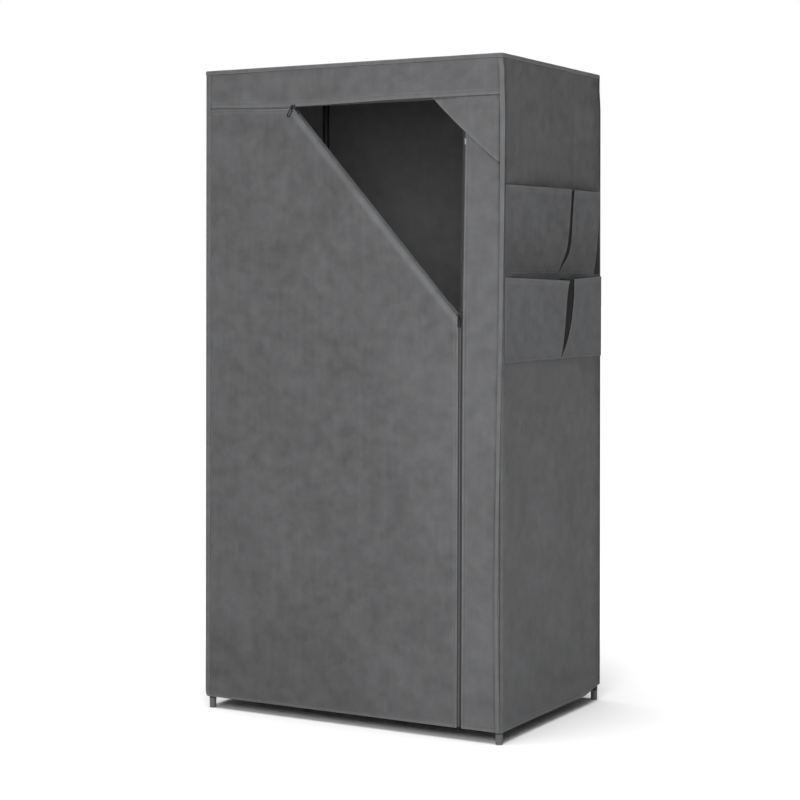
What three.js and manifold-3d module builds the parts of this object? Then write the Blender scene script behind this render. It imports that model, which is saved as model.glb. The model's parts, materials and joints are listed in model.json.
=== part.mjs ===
// Portable fabric wardrobe: a tube frame under a zipped cloth cover, with one door corner folded in.
// Millimetres. +X is to the right facing the door, +Y goes back, +Z goes up, and the feet stand at Z 0.
import * as THREE from "three";
import { mergeVertices } from "three/addons/utils/BufferGeometryUtils.js";
import Module from "manifold-3d";

const wasm = await Module();
wasm.setup();

// Overall sizes
const coverWidth = 750;
const coverDepth = 520;
const coverTop = 1450;
const coverBottom = 26;
const cloth = 1.5;
const gap = 0.3;
const overrun = 1;

// Tube frame and its plastic hubs
const tubeDiameter = 16;
const tubeWall = 0.8;
const collarLength = 13;
const spigotLength = 22;
const joinerFlange = 4;
const bottomRailHeight = 42;
const railDrop = 40;
const postSplitShare = 0.5;

// Feet
const footHeight = 23;
const footCollar = 4;
const footBaseDiameter = 14.4;
const footTopDiameter = 14.8;
const footPegDiameter = 9;
const footPegLength = 8;

// Cover panels
const lidSkirt = 9;
const seamInset = 11;
const headerHeight = 87;
const gussetWidth = 150;
const gussetDrop = 137;
const gussetBowShare = 0.02;

// Zips: the side zip's centre line lies sideZipInset from the right face
const sideZipInset = 98.5;
const sideZipWidth = 11;
const sideZipBottom = 36;
const topZipWidth = 6;
const coilGap = 1.6;
const zipThickness = 1.8;
const flapTapeWidth = 8.2;
const stopLength = 13;
const stopWidth = 3.4;
const stopRise = 1.2;
const stopBelowTop = 173;

// The corner of the door that is folded in
const foldStartInset = 246;
const foldEndHeight = 910;
const rollRadius = 6;
const rollInsetShare = 1.5;

// Zip sliders and pulls
const sliderLength = 12;
const sliderWidth = 9;
const sliderPlate = 1.5;
const webLength = 6;
const topSliderBack = 9;
const sideSliderDrop = 7;
const pinDiameter = 1.2;
const barrelWall = 0.5;
const barrelLength = 4.2;
const earThickness = 1.2;
const earHeight = 3.2;
const pullLength = 25;
const pullWidth = 7.5;
const pullThickness = 1.6;
const pullRim = 1.7;
const pullNeck = 3;
const topPullTilt = THREE.MathUtils.degToRad(30);

// Pockets on the right face: bottoms and mouths above the floor, insets from the front and back faces
const upperPocketBottom = 992;
const upperPocketMouth = 1178;
const lowerPocketBottom = 804;
const lowerPocketMouth = 984;
const pocketFrontStart = 11;
const pocketSeam = 300;
const upperPocketInset = 42;
const lowerPocketInset = 12;
const pocketSeamGap = 1;
const pocketTab = 4;
const fullPocketBulge = 31;
const pocketBulge = 25;
const mouthDroop = 7;
const frontCrestShare = 0.96;
const backCrestShare = 0.92;
const lowerBackCrestShare = 0.1;
const upperRiseShare = 0.58;
const lowerRiseShare = 0.86;

// Facets of round and curved pieces
const tubeSides = 16;
const cornerSteps = 5;
const rollSteps = 4;
const smallSides = 8;
const pocketRows = 6;
const pocketLongSteps = 8;
const pocketShortSteps = 4;

// Places that follow from the sizes
const left = -coverWidth / 2;
const right = coverWidth / 2;
const front = -coverDepth / 2;
const back = coverDepth / 2;
const tubeRadius = tubeDiameter / 2;
const tubeBore = tubeRadius - tubeWall;
const spigotRadius = tubeBore - gap;
const cornerRadius = tubeRadius + gap + cloth;
const topRailHeight = coverTop - cornerRadius;
const headerBottom = coverTop - headerHeight;
const topZipHeight = headerBottom - topZipWidth / 2;
const doorTop = headerBottom - topZipWidth;
const sideZipX = right - sideZipInset;
const doorRight = sideZipX - sideZipWidth / 2;
const stripLeft = sideZipX + sideZipWidth / 2;
const seamLeft = left + seamInset;
const seamRight = right - seamInset;
const sheetSetback = sliderWidth / 2 + gap + gap;
const zipFront = front - gap;

const grey = new THREE.Color(0.39, 0.395, 0.4);
const finishes = {
  cloth: { color: grey, roughness: 0.92, metalness: 0 },
  tube: { color: new THREE.Color(0.3, 0.3, 0.31), roughness: 0.4, metalness: 0.7 },
  plastic: { color: new THREE.Color(0.2, 0.2, 0.21), roughness: 0.55, metalness: 0 },
  foot: { color: new THREE.Color(0.36, 0.36, 0.37), roughness: 0.6, metalness: 0 },
  zip: { color: new THREE.Color(0.22, 0.22, 0.23), roughness: 0.7, metalness: 0 },
  slider: { color: new THREE.Color(0.03, 0.03, 0.03), roughness: 0.35, metalness: 0.6 },
};

const wardrobe = new THREE.Group();

function add(name, geometry, finish, position = [0, 0, 0], rotation = [0, 0, 0]) {
  const mesh = new THREE.Mesh(geometry, new THREE.MeshStandardMaterial(finishes[finish]));
  mesh.name = name;
  mesh.position.set(...position);
  mesh.rotation.set(...rotation);
  wardrobe.add(mesh);
}

// Solids for joining and cutting
function toSolid(geometry) {
  const plain = geometry.clone();
  plain.deleteAttribute("normal");
  plain.deleteAttribute("uv");
  const merged = mergeVertices(plain);
  const corners = merged.index.array;
  const kept = [];
  for (let i = 0; i < corners.length; i += 3) {
    const [a, b, c] = corners.slice(i, i + 3);
    if (a !== b && b !== c && c !== a) {
      kept.push(a, b, c);
    }
  }
  return new wasm.Manifold(new wasm.Mesh({
    numProp: 3,
    vertProperties: merged.attributes.position.array,
    triVerts: Uint32Array.from(kept),
  }));
}

function toGeometry(solid) {
  const mesh = solid.getMesh();
  const geometry = new THREE.BufferGeometry();
  geometry.setAttribute("position", new THREE.BufferAttribute(new Float32Array(mesh.vertProperties), 3));
  geometry.setIndex(new THREE.BufferAttribute(new Uint32Array(mesh.triVerts), 1));
  geometry.computeVertexNormals();
  return geometry;
}

function join(geometries) {
  return toGeometry(geometries.map(toSolid).reduce((whole, piece) => whole.add(piece)));
}

function cut(geometry, tool) {
  return toGeometry(toSolid(geometry).subtract(toSolid(tool)));
}

function keepInside(geometry, limit) {
  return toGeometry(toSolid(geometry).intersect(toSolid(limit)));
}

// A box from its lowest and highest corners
function block(low, high) {
  const size = high.map((value, axis) => value - low[axis]);
  const centre = high.map((value, axis) => (value + low[axis]) / 2);
  return new THREE.BoxGeometry(...size).translate(...centre);
}

// A flat sheet that faces the front, from its outline in X and Z
function frontSheet(outline, frontY, thickness) {
  const shape = new THREE.Shape(outline.map(([x, z]) => new THREE.Vector2(x, z)));
  const sheet = new THREE.ExtrudeGeometry(shape, { depth: thickness, bevelEnabled: false });
  return sheet.rotateX(Math.PI / 2).translate(0, frontY + thickness, 0);
}

// Frame pieces
function turned(profile, sides = tubeSides) {
  const points = profile.map(([radius, height]) => new THREE.Vector2(radius, height));
  return new THREE.LatheGeometry(points, sides).rotateX(Math.PI / 2);
}

function tube(length) {
  return turned([
    [tubeBore, 0],
    [tubeRadius, 0],
    [tubeRadius, length],
    [tubeBore, length],
    [tubeBore, 0],
  ]);
}

function rod(direction, from, to, radius, sides = tubeSides) {
  const along = new THREE.Vector3(...direction);
  const turn = new THREE.Quaternion().setFromUnitVectors(new THREE.Vector3(0, 1, 0), along);
  const piece = new THREE.CylinderGeometry(radius, radius, to - from, sides);
  return piece.translate(0, (from + to) / 2, 0).applyQuaternion(turn);
}

function arm(direction) {
  const collar = rod(direction, 0, collarLength, tubeRadius);
  const spigot = rod(direction, collarLength - overrun, collarLength + spigotLength, spigotRadius);
  return [collar, spigot];
}

function ball() {
  return new THREE.SphereGeometry(tubeRadius, tubeSides, tubeSides / 2).rotateX(Math.PI / 2);
}

function topHub(inX, inY) {
  return join([ball(), ...arm([inX, 0, 0]), ...arm([0, inY, 0]), ...arm([0, 0, -1])]);
}

function bottomHub(inX, inY) {
  const stemLength = bottomRailHeight - footHeight - gap;
  const stem = rod([0, 0, -1], 0, stemLength, tubeRadius);
  const socketRadius = footPegDiameter / 2 + gap;
  const socketTop = footPegLength + gap;
  const socket = rod([0, 0, -1], stemLength - socketTop, stemLength + overrun, socketRadius);
  const hub = join([ball(), stem, ...arm([inX, 0, 0]), ...arm([0, inY, 0]), ...arm([0, 0, 1])]);
  return cut(hub, socket);
}

function railBracket(inX) {
  const drop = rod([0, 0, -1], 0, railDrop, tubeRadius);
  const reach = [...arm([inX, 0, 0]), ball()].map((piece) => piece.translate(0, 0, -railDrop));
  return join([ball(), drop, ...arm([0, 1, 0]), ...arm([0, -1, 0]), ...reach]);
}

function postJoiner() {
  const flangeTop = spigotLength + joinerFlange;
  return turned([
    [0, 0],
    [spigotRadius, 0],
    [spigotRadius, spigotLength],
    [tubeRadius, spigotLength],
    [tubeRadius, flangeTop],
    [spigotRadius, flangeTop],
    [spigotRadius, flangeTop + spigotLength],
    [0, flangeTop + spigotLength],
  ]);
}

function foot() {
  const collarBottom = footHeight - footCollar;
  return turned([
    [0, 0],
    [footBaseDiameter / 2, 0],
    [footTopDiameter / 2, collarBottom],
    [tubeRadius, collarBottom],
    [tubeRadius, footHeight],
    [footPegDiameter / 2, footHeight],
    [footPegDiameter / 2, footHeight + footPegLength],
    [0, footHeight + footPegLength],
  ]);
}

const postX = right - cornerRadius;
const postY = back - cornerRadius;
const tubeInset = collarLength + gap;
const postStart = bottomRailHeight + tubeInset;
const postEnd = topRailHeight - tubeInset;
const splitHeight = postStart + (postEnd - postStart) * postSplitShare;
const flangeBottom = splitHeight - joinerFlange / 2;
const flangeTop = splitHeight + joinerFlange / 2;

for (const [endName, sideY] of [["front", -1], ["back", 1]]) {
  for (const [sideName, sideX] of [["left", -1], ["right", 1]]) {
    const x = sideX * postX;
    const y = sideY * postY;
    const corner = `${endName}_${sideName}`;
    add(`foot_${corner}`, foot(), "foot", [x, y, 0]);
    add(`bottom_hub_${corner}`, bottomHub(-sideX, -sideY), "plastic", [x, y, bottomRailHeight]);
    add(`lower_post_${corner}`, tube(flangeBottom - gap - postStart), "tube", [x, y, postStart]);
    add(`post_joiner_${corner}`, postJoiner(), "plastic", [x, y, flangeBottom - spigotLength]);
    add(`upper_post_${corner}`, tube(postEnd - flangeTop - gap), "tube", [x, y, flangeTop + gap]);
    add(`top_hub_${corner}`, topHub(-sideX, -sideY), "plastic", [x, y, topRailHeight]);
  }
}

const alongX = [0, Math.PI / 2, 0];
const alongY = [-Math.PI / 2, 0, 0];
const longRail = 2 * (postX - tubeInset);
const sideRail = 2 * (postY - tubeInset);
const halfRail = postY - 2 * tubeInset;

for (const [endName, sideY] of [["front", -1], ["back", 1]]) {
  const start = [-longRail / 2, sideY * postY];
  add(`top_rail_${endName}`, tube(longRail), "tube", [...start, topRailHeight], alongX);
  add(`bottom_rail_${endName}`, tube(longRail), "tube", [...start, bottomRailHeight], alongX);
}
for (const [sideName, sideX] of [["left", -1], ["right", 1]]) {
  const x = sideX * postX;
  add(`bottom_rail_${sideName}`, tube(sideRail), "tube", [x, -sideRail / 2, bottomRailHeight], alongY);
  add(`top_rail_${sideName}_front`, tube(halfRail), "tube", [x, -tubeInset - halfRail, topRailHeight], alongY);
  add(`top_rail_${sideName}_back`, tube(halfRail), "tube", [x, tubeInset, topRailHeight], alongY);
  add(`rail_bracket_${sideName}`, railBracket(-sideX), "plastic", [x, 0, topRailHeight]);
}
add("clothes_rail", tube(longRail), "tube", [-longRail / 2, 0, topRailHeight - railDrop], alongX);

// Fixed cover panels
function roundedRectangle(halfX, halfY, radius) {
  const shape = new THREE.Shape();
  shape.moveTo(-halfX + radius, -halfY);
  shape.lineTo(halfX - radius, -halfY);
  shape.absarc(halfX - radius, -halfY + radius, radius, -Math.PI / 2, 0, false);
  shape.lineTo(halfX, halfY - radius);
  shape.absarc(halfX - radius, halfY - radius, radius, 0, Math.PI / 2, false);
  shape.lineTo(-halfX + radius, halfY);
  shape.absarc(-halfX + radius, halfY - radius, radius, Math.PI / 2, Math.PI, false);
  shape.lineTo(-halfX, -halfY + radius);
  shape.absarc(-halfX + radius, -halfY + radius, radius, Math.PI, 1.5 * Math.PI, false);
  return shape;
}

function lid() {
  const outer = roundedRectangle(right, back, cornerRadius);
  const inner = roundedRectangle(right - cloth, back - cloth, cornerRadius - cloth);
  const curveSegments = cornerSteps / 2;
  const shell = new THREE.ExtrudeGeometry(outer, { depth: lidSkirt, bevelEnabled: false, curveSegments });
  const hollowDepth = lidSkirt - cloth + overrun;
  const hollow = new THREE.ExtrudeGeometry(inner, { depth: hollowDepth, bevelEnabled: false, curveSegments });
  return cut(shell, hollow.translate(0, 0, -overrun));
}

// A side panel wraps round its two posts and ends at the seams on the front and the back
function sidePanel() {
  const shape = new THREE.Shape();
  const centre = left + cornerRadius;
  const inner = cornerRadius - cloth;
  const frontCentre = front + cornerRadius;
  const backCentre = back - cornerRadius;
  shape.moveTo(seamLeft, front + cloth);
  shape.lineTo(centre, front + cloth);
  shape.absarc(centre, frontCentre, inner, -Math.PI / 2, -Math.PI, true);
  shape.lineTo(left + cloth, backCentre);
  shape.absarc(centre, backCentre, inner, Math.PI, Math.PI / 2, true);
  shape.lineTo(seamLeft, back - cloth);
  shape.lineTo(seamLeft, back);
  shape.lineTo(centre, back);
  shape.absarc(centre, backCentre, cornerRadius, Math.PI / 2, Math.PI, false);
  shape.lineTo(left, frontCentre);
  shape.absarc(centre, frontCentre, cornerRadius, Math.PI, 1.5 * Math.PI, false);
  shape.lineTo(seamLeft, front);
  const depth = coverTop - lidSkirt - gap - coverBottom;
  return new THREE.ExtrudeGeometry(shape, { depth, bevelEnabled: false, curveSegments: cornerSteps / 2 });
}

function rectangle(x0, x1, z0, z1) {
  return [[x0, z0], [x1, z0], [x1, z1], [x0, z1]];
}

const panelTop = coverTop - lidSkirt - gap;
add("cover_top", lid(), "cloth", [0, 0, coverTop - lidSkirt]);
add("cover_left", sidePanel(), "cloth", [0, 0, coverBottom]);
add("cover_right", sidePanel().rotateZ(Math.PI), "cloth", [0, 0, coverBottom]);
const betweenSeams = [seamLeft + gap, seamRight - gap];
add("cover_back", frontSheet(rectangle(...betweenSeams, coverBottom, panelTop), back - cloth, cloth), "cloth");
add("cover_header", frontSheet(rectangle(...betweenSeams, headerBottom, panelTop), front, cloth), "cloth");
const stripTop = headerBottom - gap;
const stripOutline = rectangle(stripLeft, seamRight - gap, coverBottom, stripTop);
add("cover_strip", frontSheet(stripOutline, front, cloth), "cloth");

// The gusset lies over the top of the strip, under the header, with its free edge bowed outwards
function gusset() {
  const cornerX = seamRight - gap;
  const tip = new THREE.Vector2(cornerX - gussetWidth, stripTop);
  const lowerEnd = new THREE.Vector2(cornerX, stripTop - gussetDrop);
  const edge = lowerEnd.clone().sub(tip);
  const outwards = new THREE.Vector2(edge.y, -edge.x).multiplyScalar(gussetBowShare);
  const middle = tip.clone().add(lowerEnd).divideScalar(2).add(outwards);
  const outline = [tip, middle, lowerEnd].map((point) => [point.x, point.y]);
  return frontSheet([...outline, [cornerX, stripTop]], front - gap - cloth, cloth);
}
add("corner_gusset", gusset(), "cloth");

// The base sheet lies on the bottom rails, notched round the posts
function baseSheet() {
  const edgeX = postX;
  const edgeY = postY;
  const notch = tubeRadius + gap + cloth;
  const outline = [
    [-edgeX + notch, -edgeY], [edgeX - notch, -edgeY], [edgeX - notch, -edgeY + notch],
    [edgeX, -edgeY + notch], [edgeX, edgeY - notch], [edgeX - notch, edgeY - notch],
    [edgeX - notch, edgeY], [-edgeX + notch, edgeY], [-edgeX + notch, edgeY - notch],
    [-edgeX, edgeY - notch], [-edgeX, -edgeY + notch], [-edgeX + notch, -edgeY + notch],
  ];
  const shape = new THREE.Shape(outline.map(([x, y]) => new THREE.Vector2(x, y)));
  return new THREE.ExtrudeGeometry(shape, { depth: cloth, bevelEnabled: false });
}
add("base_sheet", baseSheet(), "cloth", [0, 0, bottomRailHeight + tubeRadius + gap]);

// Pockets: a cloth shell that stands off the right face at its mouth and is sewn flat round the rest
function shellFromGrid(rows, thickness) {
  const count = rows[0].length;
  const at = (row, column) => rows[row][column];
  const outer = [];
  const inner = [];
  rows.forEach((points, row) => points.forEach((point, column) => {
    const across = at(row, Math.min(column + 1, count - 1)).clone().sub(at(row, Math.max(column - 1, 0)));
    const up = at(Math.min(row + 1, rows.length - 1), column).clone().sub(at(Math.max(row - 1, 0), column));
    const normal = across.cross(up).normalize();
    outer.push(point);
    inner.push(point.clone().addScaledVector(normal, -thickness));
  }));
  const corners = [];
  const size = outer.length;
  const quad = (a, b, c, d) => corners.push(a, b, c, a, c, d);
  for (let row = 0; row < rows.length - 1; row += 1) {
    for (let column = 0; column < count - 1; column += 1) {
      const a = row * count + column;
      quad(a, a + 1, a + 1 + count, a + count);
      quad(size + a, size + a + count, size + a + count + 1, size + a + 1);
    }
  }
  const lastRow = (rows.length - 1) * count;
  for (let column = 0; column < count - 1; column += 1) {
    quad(column, size + column, size + column + 1, column + 1);
    const a = lastRow + column;
    quad(a, a + 1, size + a + 1, size + a);
  }
  for (let row = 0; row < rows.length - 1; row += 1) {
    const a = row * count;
    quad(a, a + count, size + a + count, size + a);
    const b = a + count - 1;
    quad(b, size + b, size + b + count, b + count);
  }
  const geometry = new THREE.BufferGeometry().setFromPoints([...outer, ...inner]);
  geometry.setIndex(corners);
  geometry.computeVertexNormals();
  return geometry;
}

// The cloth swells steadily along its long side to a crest near one end, then turns back to the seam
function swellShares(crest) {
  const longWidth = Math.max(crest, 1 - crest);
  const shares = [];
  for (let i = 0; i <= pocketLongSteps; i += 1) {
    const share = i / pocketLongSteps;
    shares.push([share * longWidth, (share + Math.sin(share * Math.PI / 2)) / 2]);
  }
  for (let i = 1; i <= pocketShortSteps; i += 1) {
    const share = i / pocketShortSteps;
    shares.push([longWidth + (1 - longWidth) * share, (1 + Math.cos(share * Math.PI)) / 2]);
  }
  return crest < longWidth ? shares.map(([across, bulge]) => [1 - across, bulge]).reverse() : shares;
}

function pocket(start, end, bottom, mouth, bulge, crest, riseShare, droop) {
  const face = right + gap + cloth;
  const swell = swellShares(crest);
  const rows = [];
  for (let row = 0; row <= pocketRows; row += 1) {
    const heightShare = row / pocketRows;
    const stand = bulge * heightShare ** riseShare;
    const columns = swell.map(([acrossShare, bulgeShare]) => {
      const y = front + start + pocketTab + (end - start - 2 * pocketTab) * acrossShare;
      const z = bottom + (mouth - bottom - droop * bulgeShare) * heightShare;
      return new THREE.Vector3(face + stand * bulgeShare, y, z);
    });
    const tabFront = columns[0].clone().setY(front + start);
    const tabBack = columns[columns.length - 1].clone().setY(front + end);
    rows.push([tabFront, ...columns, tabBack]);
  }
  return shellFromGrid(rows, cloth);
}

const seamFront = pocketSeam - pocketSeamGap / 2;
const seamBack = pocketSeam + pocketSeamGap / 2;
const crestBulge = fullPocketBulge - gap - cloth;
const plainBulge = pocketBulge - gap - cloth;
const upperPocketEnd = coverDepth - upperPocketInset;
const lowerPocketEnd = coverDepth - lowerPocketInset;
const upper = [upperPocketBottom, upperPocketMouth];
const lower = [lowerPocketBottom, lowerPocketMouth];
const frontWidth = [pocketFrontStart, seamFront];
const upperFolds = [crestBulge, frontCrestShare, upperRiseShare, 0];
const lowerFolds = [plainBulge, frontCrestShare, lowerRiseShare, mouthDroop];
const upperBackFolds = [plainBulge, backCrestShare, upperRiseShare, 0];
const lowerBackFolds = [plainBulge, lowerBackCrestShare, lowerRiseShare, 0];
const pockets = {
  pocket_upper_front: pocket(...frontWidth, ...upper, ...upperFolds),
  pocket_upper_back: pocket(seamBack, upperPocketEnd, ...upper, ...upperBackFolds),
  pocket_lower_front: pocket(...frontWidth, ...lower, ...lowerFolds),
  pocket_lower_back: pocket(seamBack, lowerPocketEnd, ...lower, ...lowerBackFolds),
};
for (const [name, geometry] of Object.entries(pockets)) {
  add(name, geometry, "cloth");
}

// The door, cut off along the fold, and the corner folded in behind it
const doorLeft = seamLeft + gap;
const foldStart = new THREE.Vector2(left + foldStartInset, doorTop);
const foldEnd = new THREE.Vector2(doorRight, foldEndHeight);
const doorOutline = [
  [doorLeft, coverBottom],
  [doorRight, coverBottom],
  [foldEnd.x, foldEnd.y],
  [foldStart.x, foldStart.y],
  [doorLeft, doorTop],
];
add("door_panel", frontSheet(doorOutline, front, cloth), "cloth");

// The flap turns on the middle of its rolled edge, close behind the door's edge
const alongFold = foldEnd.clone().sub(foldStart).normalize();
const inwards = new THREE.Vector2(alongFold.y, -alongFold.x);
const rollY = front + cloth + gap + rollRadius;
const axisPoint = foldStart.clone().addScaledVector(inwards, rollRadius);
const sheetTop = topZipHeight - sheetSetback;
const sheetRight = sideZipX - sheetSetback;
const axisTop = axisPoint.clone().addScaledVector(alongFold, (sheetTop - axisPoint.y) / alongFold.y);
const axisEnd = axisPoint.clone().addScaledVector(alongFold, (sheetRight - axisPoint.x) / alongFold.x);

// Where a point of the closed flap lies once it is folded in
function foldedIn(point) {
  const reach = point.clone().sub(axisPoint).dot(inwards);
  return point.clone().addScaledVector(inwards, -2 * reach);
}

function flap() {
  const corner = foldedIn(new THREE.Vector2(sheetRight, sheetTop));
  const inner = rollRadius - cloth;
  const reach = corner.clone().sub(axisPoint).dot(inwards) + overrun;
  const section = new THREE.Shape();
  section.moveTo(0, -rollRadius);
  section.absarc(0, 0, rollRadius, -Math.PI / 2, Math.PI / 2, true);
  section.lineTo(reach, rollRadius);
  section.lineTo(reach, inner);
  section.lineTo(0, inner);
  section.absarc(0, 0, inner, Math.PI / 2, 1.5 * Math.PI, false);
  const depth = axisEnd.distanceTo(axisTop);
  const sheet = new THREE.ExtrudeGeometry(section, { depth, bevelEnabled: false, curveSegments: rollSteps });
  const basis = new THREE.Matrix4().makeBasis(
    new THREE.Vector3(inwards.x, 0, inwards.y),
    new THREE.Vector3(0, 1, 0),
    new THREE.Vector3(alongFold.x, 0, alongFold.y),
  );
  basis.setPosition(axisTop.x, rollY, axisTop.y);
  sheet.applyMatrix4(basis);
  const rollInset = rollRadius * rollInsetShare;
  const start = axisTop.clone().addScaledVector(alongFold, rollInset);
  const end = axisEnd.clone().addScaledVector(alongFold, -rollInset);
  const outside = -rollRadius - overrun;
  const outline = [
    start.clone().addScaledVector(inwards, outside),
    start,
    corner,
    end,
    end.clone().addScaledVector(inwards, outside),
  ].map((point) => [point.x, point.y]);
  const limit = frontSheet(outline, rollY + outside, 2 * (rollRadius + overrun));
  return keepInside(sheet, limit);
}
add("door_corner_flap", flap(), "cloth");

// Zip tapes: one half on the header and the strip, the other on the door and its flap
const halfCoilGap = coilGap / 2;
const tapeSheet = (outline) => frontSheet(outline, zipFront, zipThickness);
const headerTapeEnd = doorRight - flapTapeWidth;
const headerTape = rectangle(doorLeft, headerTapeEnd, topZipHeight + halfCoilGap, headerBottom - gap);
add("header_zip_tape", tapeSheet(headerTape), "zip");
const doorTopTape = rectangle(doorLeft + gap, foldStart.x - gap, doorTop + gap, topZipHeight - halfCoilGap);
add("door_top_zip_tape", tapeSheet(doorTopTape), "zip");
const sideTapeTop = foldEnd.y - gap;
const doorSideTape = rectangle(doorRight + gap, sideZipX - halfCoilGap, sideZipBottom, sideTapeTop);
add("door_side_zip_tape", tapeSheet(doorSideTape), "zip");

function stripTape() {
  const coilEdge = sideZipX + halfCoilGap;
  const tapeTop = doorTop - topZipWidth;
  const tape = tapeSheet(rectangle(coilEdge, stripLeft - gap, sideZipBottom, tapeTop));
  const stopTop = coverTop - stopBelowTop;
  const stopLow = [coilEdge + gap, zipFront - stopRise, stopTop - stopLength];
  const stopHigh = [coilEdge + gap + stopWidth, zipFront + zipThickness / 2, stopTop];
  return join([tape, block(stopLow, stopHigh)]);
}
add("strip_zip_tape", stripTape(), "zip");

// The flap's tape bends round its corner, and is drawn closed before it is folded in
function flapTape() {
  const outerX = sideZipX - halfCoilGap;
  const outerZ = topZipHeight - halfCoilGap;
  const innerX = outerX - flapTapeWidth;
  const innerZ = outerZ - flapTapeWidth;
  const endX = foldStart.x + flapTapeWidth;
  const endZ = foldEnd.y + flapTapeWidth;
  const closed = [
    [outerX, outerZ], [endX, outerZ], [endX, innerZ],
    [innerX, innerZ], [innerX, endZ], [outerX, endZ],
  ];
  const folded = closed.map(([x, z]) => foldedIn(new THREE.Vector2(x, z)));
  const outline = folded.map((point) => [point.x, point.y]);
  return frontSheet(outline, 2 * rollY - zipFront - zipThickness, zipThickness);
}
add("flap_zip_tape", flapTape(), "zip");

// Sliders and pulls, drawn at their pin with the pull hanging down
const pinRadius = pinDiameter / 2;
const barrelBore = pinRadius + gap;
const barrelRadius = barrelBore + barrelWall;
const plateFront = zipFront - gap - sliderPlate;
const pinY = plateFront - gap - barrelRadius;
const backPlate = zipFront + zipThickness + gap;

function slider(zipTurn, pullTurn) {
  const halfWidth = sliderWidth / 2;
  const halfLength = sliderLength / 2;
  const halfWeb = halfCoilGap - gap;
  const plate = (y) => block([-halfWidth, y, -halfLength], [halfWidth, y + sliderPlate, halfLength]);
  const webLow = [-halfWeb, plateFront + sliderPlate / 2, -webLength / 2];
  const webHigh = [halfWeb, backPlate + sliderPlate / 2, webLength / 2];
  const body = [plate(plateFront), plate(backPlate), block(webLow, webHigh)];
  const earInner = barrelLength / 2 + gap;
  const earOuter = earInner + earThickness;
  const earFront = pinY - earHeight / 2;
  const earBack = plateFront + sliderPlate / 2;
  const ear = (x0, x1) => block([x0, earFront, -earHeight / 2], [x1, earBack, earHeight / 2]);
  const pin = rod([1, 0, 0], -earInner - earThickness / 2, earInner + earThickness / 2, pinRadius, smallSides);
  const ears = [ear(-earOuter, -earInner), ear(earInner, earOuter), pin.translate(0, pinY, 0)];
  return join([
    ...body.map((piece) => piece.rotateY(zipTurn)),
    ...ears.map((piece) => piece.rotateY(pullTurn)),
  ]);
}

function pull(pullTurn) {
  const ringTop = -barrelRadius - pullNeck;
  const ringRadius = pullWidth / 2;
  const slotRadius = ringRadius - pullRim;
  const ringHigh = ringTop - ringRadius;
  const ringLow = -pullLength + ringRadius;
  const stadium = (path, radius) => {
    path.moveTo(radius, ringHigh);
    path.absarc(0, ringHigh, radius, 0, Math.PI, false);
    path.lineTo(-radius, ringLow);
    path.absarc(0, ringLow, radius, Math.PI, 2 * Math.PI, false);
    path.closePath();
    return path;
  };
  const ring = stadium(new THREE.Shape(), ringRadius);
  ring.holes.push(stadium(new THREE.Path(), slotRadius));
  const options = { depth: pullThickness, bevelEnabled: false, curveSegments: rollSteps };
  const plate = new THREE.ExtrudeGeometry(ring, options);
  plate.rotateX(Math.PI / 2).translate(0, pinY + pullThickness / 2, 0);
  const halfNeck = pullThickness / 2;
  const halfBarrel = barrelLength / 2;
  const neck = block([-halfBarrel, pinY - halfNeck, ringTop - pullRim / 2], [halfBarrel, pinY + halfNeck, 0]);
  const barrel = rod([1, 0, 0], -halfBarrel, halfBarrel, barrelRadius, smallSides).translate(0, pinY, 0);
  const bore = rod([1, 0, 0], -halfBarrel - overrun, halfBarrel + overrun, barrelBore, smallSides);
  return cut(join([plate, neck, barrel]), bore.translate(0, pinY, 0)).rotateY(pullTurn);
}

const topSliderPlace = [foldStart.x - topSliderBack, 0, topZipHeight];
const sideSliderPlace = [sideZipX, 0, foldEnd.y - sideSliderDrop];
add("top_zip_slider", slider(Math.PI / 2, topPullTilt), "slider", topSliderPlace);
add("top_zip_pull", pull(topPullTilt), "slider", topSliderPlace);
add("side_zip_slider", slider(0, 0), "slider", sideSliderPlace);
add("side_zip_pull", pull(0), "slider", sideSliderPlace);

// The origin is the centre of the whole object's footprint, on the floor
const extent = new THREE.Box3().setFromObject(wardrobe);
const middle = extent.getCenter(new THREE.Vector3());
wardrobe.position.set(-middle.x, -middle.y, 0);

export default wardrobe;
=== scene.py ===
import bisect
import json
import math

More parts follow.
